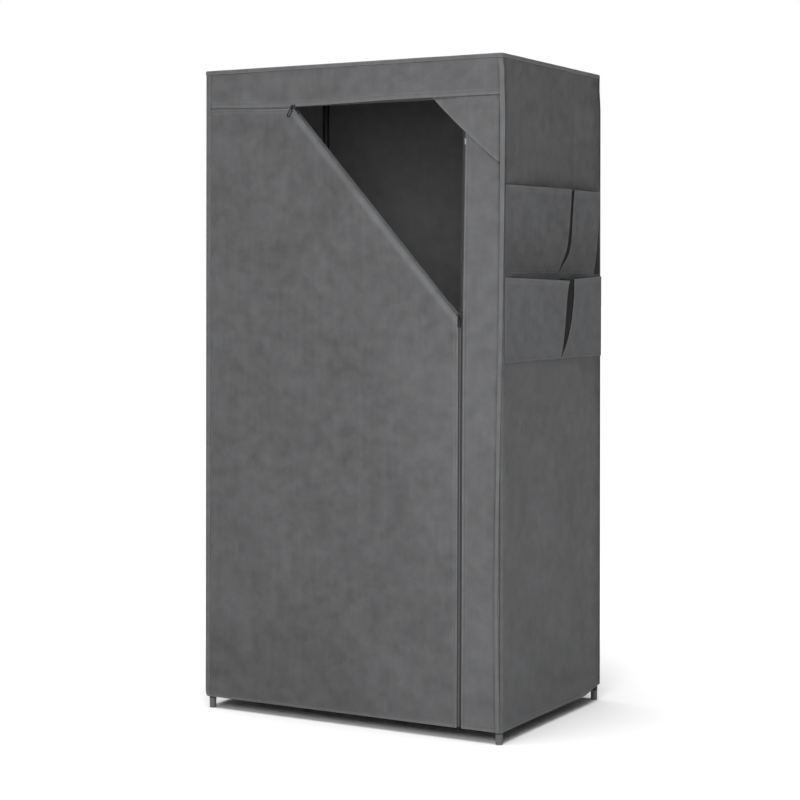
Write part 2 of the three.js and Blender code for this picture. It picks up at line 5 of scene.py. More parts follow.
import bmesh
import bpy
from mathutils import Matrix, Vector, noise
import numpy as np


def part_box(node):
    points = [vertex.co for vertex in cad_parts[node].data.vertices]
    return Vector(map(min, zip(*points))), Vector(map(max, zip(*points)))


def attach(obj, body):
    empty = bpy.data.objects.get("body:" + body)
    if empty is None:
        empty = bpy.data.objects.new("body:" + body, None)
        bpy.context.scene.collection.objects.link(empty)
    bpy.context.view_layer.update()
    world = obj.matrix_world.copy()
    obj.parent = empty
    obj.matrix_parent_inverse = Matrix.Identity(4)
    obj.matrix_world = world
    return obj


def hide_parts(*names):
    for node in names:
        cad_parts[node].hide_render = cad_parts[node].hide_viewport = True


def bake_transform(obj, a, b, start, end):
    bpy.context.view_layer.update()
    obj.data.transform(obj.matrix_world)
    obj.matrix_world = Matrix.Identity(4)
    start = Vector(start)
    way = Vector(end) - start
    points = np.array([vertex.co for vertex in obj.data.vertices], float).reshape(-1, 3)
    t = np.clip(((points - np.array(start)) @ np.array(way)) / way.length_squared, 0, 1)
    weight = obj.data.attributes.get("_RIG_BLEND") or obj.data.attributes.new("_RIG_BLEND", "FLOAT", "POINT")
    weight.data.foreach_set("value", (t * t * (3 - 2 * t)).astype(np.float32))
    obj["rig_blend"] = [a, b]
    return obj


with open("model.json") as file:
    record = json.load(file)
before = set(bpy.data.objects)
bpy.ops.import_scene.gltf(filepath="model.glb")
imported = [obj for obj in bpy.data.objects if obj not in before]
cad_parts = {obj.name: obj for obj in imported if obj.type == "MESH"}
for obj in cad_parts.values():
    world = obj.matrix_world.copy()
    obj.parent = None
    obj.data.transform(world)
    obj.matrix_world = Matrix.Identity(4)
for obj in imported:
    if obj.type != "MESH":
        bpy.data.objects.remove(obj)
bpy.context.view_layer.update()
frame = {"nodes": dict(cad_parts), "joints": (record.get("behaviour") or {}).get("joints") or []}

# Lengths are in metres. The cover's own places come from the frame.
MM = 0.001


def low(node):
    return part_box(node)[0]


def high(node):
    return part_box(node)[1]


LEFT = low("cover_left").x
RIGHT = high("cover_right").x
FRONT = low("cover_header").y
BACK = high("cover_back").y
TOP = high("cover_top").z
BOTTOM = low("cover_left").z
PANEL_TOP = high("cover_left").z
HEADER_LOW = low("cover_header").z
DOOR_TOP = high("door_panel").z
DOOR_RIGHT = high("door_panel").x
STRIP_LEFT = low("cover_strip").x
STRIP_TOP = high("cover_strip").z
SIDE_ZIP_X = (DOOR_RIGHT + STRIP_LEFT) / 2
TOP_ZIP_Z = (DOOR_TOP + HEADER_LOW) / 2
ZIP_LOW = BOTTOM + 3 * MM
POST_X = (low("upper_post_front_right").x + high("upper_post_front_right").x) / 2
CORNER_RADIUS = RIGHT - POST_X
CENTRE_X = (LEFT + RIGHT) / 2
CENTRE_Y = (FRONT + BACK) / 2

# The cover's front seams sit to the right of the posts, and it widens towards the floor
FRONT_BAND = 17 * MM
RIGHT_SEAM_TURN = 24
LEFT_FLARE = 8.6 * MM
RIGHT_FLARE = 4 * MM
FLARE_START = 250 * MM
FLARE_REACH = 100 * MM
FLARE_FRONT = -200 * MM
FLARE_DEPTH = 300 * MM
BACK_REACH = 26 * MM
BACK_FULLNESS = 3 * MM
BACK_SEAM = high("cover_back").x
BACK_WIDTH = 2 * BACK_SEAM - LEFT - RIGHT
SEAM_LEFT = LEFT + FRONT_BAND
SEAM_RIGHT = POST_X + CORNER_RADIUS * math.radians(RIGHT_SEAM_TURN)
HINGE_END = SEAM_LEFT + 21 * MM

# Cloth, seams and thread
CLOTH = 1.1 * MM
WEAVE_STEP = 7 * MM
FINE_STEP = 2.4 * MM
SEAM_ROLL = 1.3 * MM
HEM_ROLL = 0.9 * MM
HEM_FULLNESS = 0.6 * MM
STITCH_SINK = 0.8 * MM
STITCH_WIDTH = 0.9 * MM
STITCH_PITCH = 3.9 * MM
STITCH_SHARE = 0.72
STITCH_INSET = 2 * MM
THREAD = 0.34 * MM
HEADER_HEM = 8.5 * MM
DOOR_HEM = 6.5 * MM
STRIP_HEM = 6.5 * MM
BOTTOM_HEM = 8 * MM
HEM_LINE = BOTTOM + BOTTOM_HEM

# The fold of the door's corner, from the joint that turns it
fold_joint = next(joint for joint in frame["joints"] if joint["name"] == "corner_fold")
FOLD_POINT = Vector(fold_joint["pos_m"])
FOLD_ALONG = Vector(fold_joint["axis"])
FOLD_OUT = Vector((-FOLD_ALONG.z, 0, FOLD_ALONG.x))
FOLD_LENGTH = (DOOR_RIGHT - FOLD_POINT.x) / FOLD_ALONG.x
fold_edge = [vert.co for vert in frame["nodes"]["door_panel"].data.vertices]
ROLL_REACH = max((point - FOLD_POINT).dot(FOLD_OUT) for point in fold_edge)
ROLL_STEPS = 12
FOLD_SINK = 2.2 * MM
FOLD_RAISE = 2.8 * MM
FOLD_BAND = 18 * MM
DEEPEST = 2.3 * MM
BLEND_START = Vector((0, FRONT + 2.6 * MM, 0))
BLEND_END = Vector((0, 2 * FOLD_POINT.y - FRONT - 2.6 * MM, 0))
SEAM_SLANT = Vector((1, 0, -LEFT_FLARE / (TOP - BOTTOM)))
HINGE_START = Vector((SEAM_LEFT, FRONT, TOP))
HINGE_FREE = HINGE_START + SEAM_SLANT * (HINGE_END - SEAM_LEFT - 3 * MM)

# Colours, as linear values
CLOTH_GREY = (0.118, 0.119, 0.122, 1)
POCKET_GREY = (0.093, 0.094, 0.097, 1)
THREAD_GREY = (0.19, 0.19, 0.195, 1)
# Painted shade: the pleats get near-black cloth for the deep shade inside them
PLEAT_SHADE_GREY = (0.014, 0.014, 0.015, 1)
TAPE_GREY = (0.05, 0.05, 0.052, 1)
COIL_GREY = (0.155, 0.155, 0.158, 1)
DARK_COIL_GREY = (0.05, 0.05, 0.052, 1)
STOP_GREY = (0.24, 0.24, 0.245, 1)
TUBE_GREY = (0.035, 0.035, 0.037, 1)
HUB_GREY = (0.03, 0.03, 0.032, 1)
FOOT_GREY = (0.11, 0.11, 0.115, 1)
SLIDER_GREY = (0.035, 0.035, 0.036, 1)
SLIDER_BLACK = (0.006, 0.006, 0.006, 1)


# Small tools for shader nodes
def add_node(tree, kind, values=(), **settings):
    node = tree.nodes.new("ShaderNode" + kind)
    for name, value in settings.items():
        setattr(node, name, value)
    for socket, value in dict(values).items():
        if isinstance(value, bpy.types.NodeSocket):
            tree.links.new(value, node.inputs[socket])
        else:
            node.inputs[socket].default_value = value
    return node


def calculate(tree, operation, *values):
    return add_node(tree, "Math", dict(enumerate(values)), operation=operation).outputs[0]


def new_effect(name, colour, **amounts):
    """A group that takes a place, a colour and amounts, and gives a colour, a roughness and a relief"""
    tree = bpy.data.node_groups.new(name, "ShaderNodeTree")
    given = {"Vector": ("NodeSocketVector", None), "Colour": ("NodeSocketColor", colour)}
    given.update((label.replace("_", " "), ("NodeSocketFloat", value)) for label, value in amounts.items())
    for label, (kind, value) in given.items():
        socket = tree.interface.new_socket(label, in_out="INPUT", socket_type=kind)
        if value is not None:
            socket.default_value = value
    made = {"Colour": "NodeSocketColor", "Roughness": "NodeSocketFloat", "Height": "NodeSocketFloat"}
    for label, kind in made.items():
        tree.interface.new_socket(label, in_out="OUTPUT", socket_type=kind)
    return tree, tree.nodes.new("NodeGroupInput").outputs, tree.nodes.new("NodeGroupOutput").inputs


def hand_on(tree, made, colour, roughness, height):
    """Gives an effect its results"""
    results = {"Colour": colour, "Roughness": roughness, "Height": height}
    for label, value in results.items():
        tree.links.new(value, made[label])
    return tree


def noise_value(tree, vector, scale, detail=3.0, roughness=0.55):
    values = {"Vector": vector, "Scale": scale, "Detail": detail, "Roughness": roughness}
    return add_node(tree, "TexNoise", values).outputs["Fac"]


def stretched(tree, vector, scale):
    return add_node(tree, "Mapping", {"Vector": vector, "Scale": scale}).outputs["Vector"]


def shade(tree, colour, amount):
    """The colour times an amount that changes over the surface"""
    return add_node(tree, "VectorMath", {0: colour, 1: amount}, operation="MULTIPLY").outputs[0]


def spread(tree, value, lowest, highest):
    """A 0 to 1 value spread over another range"""
    values = {"Value": value, "To Min": lowest, "To Max": highest}
    return add_node(tree, "MapRange", values).outputs[0]


def turns_of(tree, vector, spacing):
    """Angles across and along the surface that turn once over each spacing"""
    turn = calculate(tree, "DIVIDE", 2 * math.pi, spacing)
    turned = add_node(tree, "VectorMath", {0: vector, "Scale": turn}, operation="SCALE")
    split = add_node(tree, "SeparateXYZ", {0: turned.outputs[0]})
    return split.outputs[0], split.outputs[1]


# Effects that several finishes share
def bonded_cloth_effect():
    """Pressed non-woven cloth: soft clouds, faint upright streaks, fibres and small bond points"""
    amounts = {"Clouds": 0.55, "Streaks": 0.09, "Fibres": 0.08, "Bond_Spacing": 1.3 * MM}
    tree, given, made = new_effect("bonded_cloth", CLOTH_GREY, **amounts, Worn=0.0, Worn_Paleness=0.28)
    small_clouds = noise_value(tree, given["Vector"], 30.0, 5.0, 0.65)
    large_clouds = noise_value(tree, given["Vector"], 7.0, 2.0, 0.5)
    less = calculate(tree, "MULTIPLY", large_clouds, 0.3)
    clouds = calculate(tree, "MULTIPLY_ADD", small_clouds, 0.7, less)
    streaks = noise_value(tree, stretched(tree, given["Vector"], (90, 5, 1)), 1.0, 3.0)
    fibres = noise_value(tree, given["Vector"], 900.0, 3.0, 0.7)
    across, up = turns_of(tree, given["Vector"], given["Bond Spacing"])
    dots = calculate(tree, "MULTIPLY", calculate(tree, "SINE", across), calculate(tree, "SINE", up))
    bonds = spread(tree, dots, -0.2, 1.0)
    amount = 1.0
    for value, strength in ((clouds, "Clouds"), (streaks, "Streaks"), (fibres, "Fibres")):
        centred = calculate(tree, "SUBTRACT", value, 0.5)
        doubled = calculate(tree, "MULTIPLY", centred, 2.0)
        amount = calculate(tree, "ADD", amount, calculate(tree, "MULTIPLY", doubled, given[strength]))
    # Painted light and shade: a value on each point of the mesh makes the cloth paler where light is painted
    # and darker where shade is
    painted_light = calculate(tree, "MULTIPLY", given["Worn"], given["Worn Paleness"])
    amount = calculate(tree, "ADD", amount, painted_light)
    colour = shade(tree, given["Colour"], amount)
    fuzz = calculate(tree, "MULTIPLY", fibres, 0.6)
    relief = calculate(tree, "SUBTRACT", fuzz, bonds)
    return hand_on(tree, made, colour, spread(tree, fibres, 0.8, 1.0), relief)


def woven_tape_effect():
    """Narrow woven tape with ribs along it"""
    tree, given, made = new_effect("woven_tape", TAPE_GREY, Rib_Spacing=0.7 * MM)
    across, up = turns_of(tree, given["Vector"], given["Rib Spacing"])
    slant = calculate(tree, "SINE", calculate(tree, "ADD", across, up))
    fibres = noise_value(tree, given["Vector"], 1200.0, 2.0)
    amount = calculate(tree, "ADD", spread(tree, slant, 0.9, 1.1), spread(tree, fibres, -0.15, 0.15))
    colour = shade(tree, given["Colour"], amount)
    relief = calculate(tree, "ADD", slant, fibres)
    return hand_on(tree, made, colour, spread(tree, fibres, 0.7, 0.9), relief)


def moulded_effect():
    """Moulded plastic or sprayed paint: fine grain, a little dust and scuffed patches"""
    amounts = {"Grain_Scale": 1500.0, "Roughness": 0.5, "Dust": 0.1}
    tree, given, made = new_effect("moulded_surface", HUB_GREY, **amounts)
    patches = noise_value(tree, given["Vector"], 60.0, 5.0, 0.65)
    grain = noise_value(tree, given["Vector"], given["Grain Scale"], 2.0)
    scuffs = noise_value(tree, stretched(tree, given["Vector"], (40, 40, 900)), 1.0, 2.0)
    dusty = calculate(tree, "MULTIPLY", patches, given["Dust"])
    colour = shade(tree, given["Colour"], calculate(tree, "ADD", 1.0, dusty))
    roughness = calculate(tree, "ADD", given["Roughness"], spread(tree, scuffs, -0.12, 0.12))
    relief = calculate(tree, "ADD", grain, calculate(tree, "MULTIPLY", scuffs, 0.4))
    return hand_on(tree, made, colour, roughness, relief)


EFFECTS = {"cloth": bonded_cloth_effect(), "tape": woven_tape_effect(), "moulded": moulded_effect()}


def finish_of(name, effect, colour, bump, vector="Object", rough=None, shine=0.2, coat=0.0, glow=0.0):
    """A material that lays one shared effect on a surface; vector is UV on cloth and Object elsewhere"""
    material = bpy.data.materials.new(name)
    material.use_nodes = True
    tree = material.node_tree
    surface = tree.nodes["Principled BSDF"]
    looks = add_node(tree, "Group", node_tree=EFFECTS[effect])
    tree.links.new(add_node(tree, "TexCoord").outputs[vector], looks.inputs["Vector"])
    # Cloth reads its painted light and shade from a value stored on each point of its mesh
    if effect == "cloth":
        painted_tone = add_node(tree, "Attribute", attribute_name="painted_light").outputs["Fac"]
        tree.links.new(painted_tone, looks.inputs["Worn"])
    looks.inputs["Colour"].default_value = colour
    if rough is not None:
        looks.inputs["Roughness"].default_value = rough
    relief = add_node(tree, "Bump", {"Height": looks.outputs["Height"], "Distance": bump, "Strength": 1.0})
    tree.links.new(looks.outputs["Colour"], surface.inputs["Base Color"])
    tree.links.new(looks.outputs["Roughness"], surface.inputs["Roughness"])
    tree.links.new(relief.outputs["Normal"], surface.inputs["Normal"])
    surface.inputs["Specular IOR Level"].default_value = shine
    surface.inputs["Coat Weight"].default_value = coat
    if glow:
        through = add_node(tree, "BsdfTranslucent", {"Color": (0.9, 0.9, 0.9, 1)})
        both = add_node(tree, "MixShader", {0: glow, 1: surface.outputs[0], 2: through.outputs[0]})
        tree.links.new(both.outputs[0], tree.nodes["Material Output"].inputs["Surface"])
    return material


cover_cloth = finish_of("cover_cloth", "cloth", CLOTH_GREY, 0.12 * MM, "UV", glow=0.115)
pocket_cloth = finish_of("pocket_cloth", "cloth", POCKET_GREY, 0.12 * MM, "UV")
shaded_pleat_cloth = finish_of("shaded_pleat_cloth", "cloth", PLEAT_SHADE_GREY, 0.12 * MM, "UV")
thread = finish_of("sewing_thread", "tape", THREAD_GREY, 0.05 * MM)
zip_tape = finish_of("zip_tape", "tape", TAPE_GREY, 0.08 * MM, "UV")
zip_coil = finish_of("nylon_coil", "moulded", COIL_GREY, 0.02 * MM, rough=0.45)
dark_coil = finish_of("dark_coil", "moulded", DARK_COIL_GREY, 0.02 * MM, rough=0.45)
zip_stop = finish_of("zip_stop", "moulded", STOP_GREY, 0.02 * MM, rough=0.5)
tube_paint = finish_of("tube_paint", "moulded", TUBE_GREY, 0.02 * MM, rough=0.4, shine=0.4, coat=0.1)
hub_plastic = finish_of("hub_plastic", "moulded", HUB_GREY, 0.03 * MM, rough=0.55)
foot_plastic = finish_of("foot_plastic", "moulded", FOOT_GREY, 0.03 * MM, rough=0.55)
slider_paint = finish_of("slider_paint", "moulded", SLIDER_GREY, 0.01 * MM, rough=0.45)
pull_paint = finish_of("pull_paint", "moulded", SLIDER_BLACK, 0.01 * MM, rough=0.45)


# Making pieces
def add_object(name, data):
    thing = bpy.data.objects.new(name, data)
    bpy.context.scene.collection.objects.link(thing)
    return thing


def new_piece(name, bm, material, body="wardrobe"):
    """A smooth mesh object in its place that rides on a body, or on none while it waits for a blend"""
    for face in bm.faces:
        face.smooth = True
    mesh = bpy.data.meshes.new(name)
    bm.to_mesh(mesh)
    bm.free()
    piece = add_object(name, mesh)
    mesh.materials.append(material)
    if body:
        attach(piece, body)
    return piece


def thicken(piece, thickness):
    """Gives a sheet its thickness on its inner side"""
    solid = piece.modifiers.new("thickness", "SOLIDIFY")
    solid.thickness = thickness
    solid.offset = -1


def cloth_panel(name, bm, threads, nodes=(), finish=cover_cloth, slot="cover_cloth", blend=None, **cut):
    body = None if blend else "wardrobe"
    panel = new_piece(f"{name}_cloth", bm, finish, body)
    stitches = new_piece(f"{name}_stitches", threads, thread, body)
    if nodes:
        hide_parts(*nodes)
    if blend:
        blend(panel)
        blend(stitches)
    thicken(panel, CLOTH)


def well_apart(lines):
    """The lines in order, without those that all but touch"""
    lines = sorted(lines)
    kept = [lines[0]]
    for line in lines[1:]:
        if line - kept[-1] > 0.1 * MM:
            kept.append(line)
    return kept


def lines_between(start, end, step=WEAVE_STEP, marks=(), rolled=(True, True)):
    """Grid lines from start to end: even steps, closer ones at a rolled edge and about each mark"""
    count = max(1, round((end - start) / step))
    even = [start + (end - start) * index / count for index in range(count + 1)]
    close = [start, end]
    for share in (0.2, 0.5, 1.0):
        if rolled[0]:
            close.append(start + SEAM_ROLL * share)
        if rolled[1]:
            close.append(end - SEAM_ROLL * share)
    for mark in marks:
        close += [mark + STITCH_WIDTH * offset for offset in (-2, -1, -0.4, 0.4, 1, 2)]
    close = sorted(line for line in close if start <= line <= end)
    apart = STITCH_WIDTH * 0.75
    even = [line for line in even if all(abs(line - other) > apart * 2 for other in close)]
    return well_apart(even + close)


def plain_lines(start, end, step):
    """Even grid lines for cloth whose edges aren't rolled"""
    return lines_between(start, end, step=step, rolled=(False, False))


def clear_of(lines, bends):
    return [line for line in lines if all(abs(line - bend) > 1 * MM for bend in bends)]


def cloth_grid(across, up, place, painted_light=None):
    """Cloth with its grid lines at the given distances; place(a, b) says where a point lies, and the last
    argument, given a and b, says how much light or shade is painted there
    """
    bm = bmesh.new()
    columns, rows = len(across) - 1, len(up) - 1
    bmesh.ops.create_grid(bm, x_segments=columns, y_segments=rows, size=0.5)
    weave = bm.loops.layers.uv.new("weave")
    painted_tone = bm.verts.layers.float.new("painted_light")
    lines = {}
    for vert in bm.verts:
        a = across[round((vert.co.x + 0.5) * columns)]
        b = up[round((vert.co.y + 0.5) * rows)]
        lines[vert] = (a, b)
        vert.co = place(a, b)
        vert[painted_tone] = painted_light(a, b) if painted_light else 0.0
    for face in bm.faces:
        for loop in face.loops:
            loop[weave].uv = lines[loop.vert]
    return bm


def widen_weave(bm, width):
    """Gives a grid whose columns are shares of its width its weave at real size"""
    weave = bm.loops.layers.uv.active
    for face in bm.faces:
        for loop in face.loops:
            loop[weave].uv.x *= width


def cut_along(bm, point, normal, within=0.05 * MM):
    """Cuts a sheet along a plane and gives the new edges"""
    parts = bm.verts[:] + bm.edges[:] + bm.faces[:]
    found = bmesh.ops.bisect_plane(bm, geom=parts, dist=within, plane_co=point, plane_no=normal)
    return [item for item in found["geom_cut"] if isinstance(item, bmesh.types.BMEdge)]


def eased(distance, reach):
    """0 at no distance, rising smoothly to 1 at the reach"""
    share = max(0.0, min(1.0, distance / reach))
    return share * share * (3 - 2 * share)


def between(value, start, end, reach):
    """1 well between start and end, fading to 0 at both within the reach"""
    return eased(value - start, reach) * eased(end - value, reach)


def near(distance, width):
    """1 at no distance, fading away on both sides within about twice the width"""
    return math.exp(-((distance / width) ** 2))


def read_off(table, value, column=1):
    """Reads a smooth line through the rows of a table"""
    index = max(1, min(bisect.bisect_left([row[0] for row in table], value), len(table) - 1))
    one, other = table[index - 1], table[index]
    before, after = table[max(index - 2, 0)], table[min(index + 1, len(table) - 1)]
    width = other[0] - one[0]
    share = max(0.0, min(1.0, (value - one[0]) / width))
    slope_one = (other[column] - before[column]) / (other[0] - before[0]) * width
    slope_other = (after[column] - one[column]) / (after[0] - one[0]) * width
    square, cube = share**2, share**3
    result = one[column] * (2 * cube - 3 * square + 1) + other[column] * (3 * square - 2 * cube)
    return result + slope_one * (cube - 2 * square + share) + slope_other * (cube - square)


def edge_drop(distance, radius=SEAM_ROLL):
    """How far the cloth turns in at an edge that is rolled with that radius"""
    if distance >= radius:
        return 0.0
    return radius - math.sqrt(max(0.0, radius**2 - (radius - distance) ** 2))


def stitch_dip(distance):
    """How far a line of stitches draws the cloth in"""
    return STITCH_SINK * near(distance, STITCH_WIDTH)


def hem_dip(distance, hem):
    """How far a hem is drawn in along its stitches and turns in at its folded edge"""
    return stitch_dip(distance - hem) + edge_drop(distance, HEM_ROLL)


def hem_highlight(distance, hem):
    """How pale the cloth is painted at a folded edge and beside the stitches of its hem: a painted highlight
    where the fold catches the light
    """
    light_and_shade = near(distance, 1.7 * MM) + 0.3 * eased(hem - distance, 1.5 * MM)
    return light_and_shade + 0.6 * near(distance - hem - 1.9 * MM, 1.1 * MM)


def pucker(along, distance, seed, reach=28 * MM, length=17 * MM):
    """Small gathers that run out from a sewn edge"""
    wave = noise.noise(Vector((along / length, seed, distance / (4 * length))))
    return wave * math.exp(-distance / reach)


def soft_wave(a, b, length_a, length_b, seed):
    return noise.noise(Vector((a / length_a, b / length_b, seed)))


def sew(bm, path, length):
    """Thread in even stitches; path(share) gives the line on the cloth"""
    count = max(2, round(length / STITCH_PITCH))
    for index in range(count):
        start = path((index + (1 - STITCH_SHARE) / 2) / count)
        end = path((index + (1 + STITCH_SHARE) / 2) / count)
        along = end - start
        turn = along.to_track_quat("X", "Z").to_matrix().to_4x4()
        size = Matrix.Diagonal((along.length / 2, THREAD, THREAD, 1))
        matrix = Matrix.Translation((start + end) / 2) @ turn @ size
        bmesh.ops.create_icosphere(bm, subdivisions=1, radius=1, matrix=matrix)


def sew_lines(surface, *lines):
    """Stitches along lines between two places on a panel; surface(a, b) gives the panel's face"""
    bm = bmesh.new()
    for start, end in lines:
        first, last = Vector(start), Vector(end)

        def path(share, first=first, last=last):
            return surface(*first.lerp(last, share))

        sew(bm, path, (path(1.0) - path(0.0)).length)
    return bm


def along_hem(start, end, height=HEM_LINE):
    """The ends of the stitches along a level hem, a little way in from its own ends"""
    return (start + STITCH_INSET, height), (end - STITCH_INSET, height)


def up_seam(place, start, end):
    """The ends of the stitches along an upright seam, a little way in from its own ends"""
    return (place, start + STITCH_INSET), (place, end - STITCH_INSET)


# How the cloth beside the side zip leans to the right towards its top, and how the closed top zip rises
ZIP_LEAN = [
    (87 * MM, -1.8 * MM),
    (852 * MM, 0.8 * MM),
    (979 * MM, 2 * MM),
    (1264 * MM, 7 * MM),
    (1357 * MM, 7.5 * MM),
]
LEAN_START = 225 * MM
LEAN_END = 345 * MM
LEAN_RISE = 25 * MM
LEAN_FADE = 60 * MM
HEADER_EDGE = [(LEFT, 5.1 * MM), (-162 * MM, -2 * MM), (116 * MM, 1.8 * MM), (SEAM_RIGHT, 2.1 * MM)]
DOOR_EDGE = [(LEFT, 7.2 * MM), (-300 * MM, 4.6 * MM), (-220 * MM, 1.3 * MM), (-162 * MM, 0), (-100 * MM, 0)]
DOOR_RISE_START = 1.16
DOOR_RISE_REACH = 0.2


def flared(point):
    """The cover's sides stand out further the nearer they are to the floor"""
    fall = (TOP - point.z) / (TOP - BOTTOM)
    behind = eased(point.y - FLARE_FRONT, FLARE_DEPTH)
    point.x -= LEFT_FLARE * fall * eased(-FLARE_START - point.x, FLARE_REACH)
    point.x += RIGHT_FLARE * fall * eased(point.x - FLARE_START, FLARE_REACH) * behind
    return point


def hung(point):
    """A place on the front, moved with the lean of the side zip and the rise of the top zip"""
    bend = eased(point.x - LEAN_START, LEAN_RISE) * eased(LEAN_END - point.x, LEAN_FADE)
    point.x += read_off(ZIP_LEAN, point.z) * bend
    point.z += read_off(DOOR_EDGE, point.x) * eased(point.z - DOOR_RISE_START, DOOR_RISE_REACH)
    return flared(point)


def on_front(x, out, z):
    """A place that far across the front, which turns back past the right post, and so far off the cloth"""
    turn = max(0.0, x - POST_X) / CORNER_RADIUS
    reach = CORNER_RADIUS + out
    y = FRONT + CORNER_RADIUS - reach * math.cos(turn)
    return Vector((min(x, POST_X) + reach * math.sin(turn), y, z))


def rounded(x, y, reach_x, reach_y, start, end, steps=14):
    """Points round a corner, from one facing in degrees to another"""
    points = []
    for index in range(steps + 1):
        facing = math.radians(start + (end - start) * index / steps)
        points.append(Vector((x + reach_x * math.cos(facing), y + reach_y * math.sin(facing), 0)))
    return points


def wall_line(turn):
    """The right wall in plan, from its front corner that is turned so far to its seam at the back"""
    centre_y = FRONT + CORNER_RADIUS
    points = rounded(POST_X, centre_y, CORNER_RADIUS, CORNER_RADIUS, turn - 90, 0)
    points += rounded(POST_X, BACK - BACK_REACH, CORNER_RADIUS, BACK_REACH, 0, 90)
    return points + [Vector((BACK_SEAM, BACK, 0))]


def other_side(points):
    return [Vector((LEFT + RIGHT - point.x, point.y, 0)) for point in reversed(points)]


def plan_line(points):
    """A line in plan: its points, their distances along it, and which way the cloth faces at each"""
    distances = [0.0]
    for one, other in zip(points, points[1:]):
        distances.append(distances[-1] + (other - one).length)
    facings = []
    for index in range(len(points)):
        along = points[min(index + 1, len(points) - 1)] - points[max(index - 1, 0)]
        facings.append(Vector((along.y, -along.x, 0)).normalized())
    return points, distances, facings


def place_on(line, distance):
    """The place that far along a line in plan, and which way the cloth faces there"""
    points, distances, facings = line
    index = max(1, min(bisect.bisect_left(distances, distance), len(points) - 1))
    share = (distance - distances[index - 1]) / (distances[index] - distances[index - 1])
    place = points[index - 1].lerp(points[index], share)
    return place, facings[index - 1].lerp(facings[index], share).normalized()


RIGHT_LINE = plan_line(wall_line(RIGHT_SEAM_TURN))
LEFT_LINE = plan_line(other_side(wall_line(0)) + [Vector((SEAM_LEFT, FRONT, 0))])
BACK_MIDDLE = Vector((CENTRE_X, BACK, 0))
TOP_LINE = plan_line([BACK_MIDDLE] + other_side(wall_line(0)) + wall_line(0) + [BACK_MIDDLE])
RIGHT_LENGTH = RIGHT_LINE[1][-1]
LEFT_LENGTH = LEFT_LINE[1][-1]
TOP_ROUND = TOP_LINE[1][-1]

# The band of seam allowance on the right front corner: heights and its two edges there, in millimetres
CORNER_BAND = [
    (26, 345.7, 355.7), (97, 345.1, 354.8), (308, 343.5, 351.1), (623, 346.8, 355.6),
    (937, 352.6, 361.4), (1311, 354.2, 365.6), (1393, 352.8, 363.8), (1442, 352.8, 363.7),
]
BAND_WIDTH = 10 * MM
BAND_ROLL = 1.3 * MM
BAND_STITCH = 2.2 * MM


def band_shade(x, z):
    """The cloth is darker beside the band's left edge"""
    start = read_off(CORNER_BAND, z / MM) * MM
    return 0.9 * near(x - start + 1 * MM, 3.5 * MM)


# The front: header, strip and gusset
def header_bulge(x, z):
    ends = between(x, SEAM_LEFT, SEAM_RIGHT, 60 * MM)
    lift = 0.9 * MM * soft_wave(x, z, 150 * MM, 70 * MM, 3.1) * ends
    lift += 0.5 * MM * pucker(x, PANEL_TOP - z, 5.3)
    lift += 0.35 * MM * pucker(x, z - HEADER_LOW, 8.9, reach=14 * MM)
    lift += HEM_FULLNESS * eased(HEADER_LOW + HEADER_HEM + 3 * MM - z, 3 * MM) * ends
    return lift


def header_surface(x, z):
    above = z - HEADER_LOW
    out = header_bulge(x, z) - hem_dip(above, HEADER_HEM)
    out -= edge_drop(x - SEAM_LEFT) + edge_drop(SEAM_RIGHT - x)
    rise = read_off(HEADER_EDGE, x) * (1 - above / (PANEL_TOP - HEADER_LOW))
    return flared(on_front(x, out, z + rise))


def header_painted_light(x, z):
    """Painted light and shade on the header: painted highlights at its hem, and painted shade over it that
    deepens towards its left end and beside the corner's band
    """
    shadow = 0.1 + 0.3 * eased(0.3 - x, 0.55) + band_shade(x, z)
    return hem_highlight(z - HEADER_LOW, HEADER_HEM) - shadow


def make_header():
    line = HEADER_LOW + HEADER_HEM
    across = lines_between(SEAM_LEFT, SEAM_RIGHT)
    up = lines_between(HEADER_LOW, PANEL_TOP, marks=[line])
    cloth_panel(
        "header",
        cloth_grid(across, up, header_surface, header_painted_light),
        sew_lines(header_surface, along_hem(SEAM_LEFT, SEAM_RIGHT, line)),
        nodes=["cover_header"],
        flat=(SEAM_RIGHT - SEAM_LEFT, PANEL_TOP - HEADER_LOW),
        held="stretched",
        rests_on=["top_rail_front"],
    )


# The gusset is tucked under the header's hem and lies over the strip
gusset_low, gusset_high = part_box("corner_gusset")
GUSSET_TUCK = 8 * MM
GUSSET_BOW = 3.5 * MM
GUSSET_LIFT = 2.4 * MM
GUSSET_HEM = 6 * MM
GUSSET_SEWN = 0.88
GUSSET_AREA_SHARE = 0.57
GUSSET_LINES = [0, 0.004, 0.012, 0.03, 0.045, 0.06, 0.08, 0.1, 0.12]
gusset_tip = Vector((gusset_low.x - 2 * MM - GUSSET_TUCK, gusset_high.z + GUSSET_TUCK))
gusset_foot = Vector((SEAM_RIGHT - 0.6 * MM, gusset_low.z - 3 * MM))
gusset_corner = Vector((gusset_foot.x, gusset_tip.y))
gusset_edge = gusset_foot - gusset_tip
gusset_square = Vector((gusset_edge.y, -gusset_edge.x)).normalized()


def below_gusset(x, z):
    """How far a place lies outside the gusset's free edge"""
    place = Vector((x, z)) - gusset_tip
    share = max(0.0, min(1.0, place.dot(gusset_edge) / gusset_edge.length_squared))
    return GUSSET_BOW * math.sin(math.pi * share) - place.dot(gusset_square)


# The strip's grid is finer beside the corner and under the gusset
STRIP_FINE_START = 335 * MM
STRIP_FINE_LOW = STRIP_TOP - 160 * MM


def strip_surface(x, z):
    edge = x - STRIP_LEFT
    out = 0.7 * MM * soft_wave(x, z, 90 * MM, 260 * MM, 6.7) * eased(SEAM_RIGHT - x, 40 * MM)
    out += 0.3 * MM * pucker(z, edge, 2.2, reach=12 * MM)
    out -= hem_dip(edge, STRIP_HEM) + hem_dip(z - BOTTOM, BOTTOM_HEM) + edge_drop(SEAM_RIGHT - x)
    return hung(on_front(x, out, z))


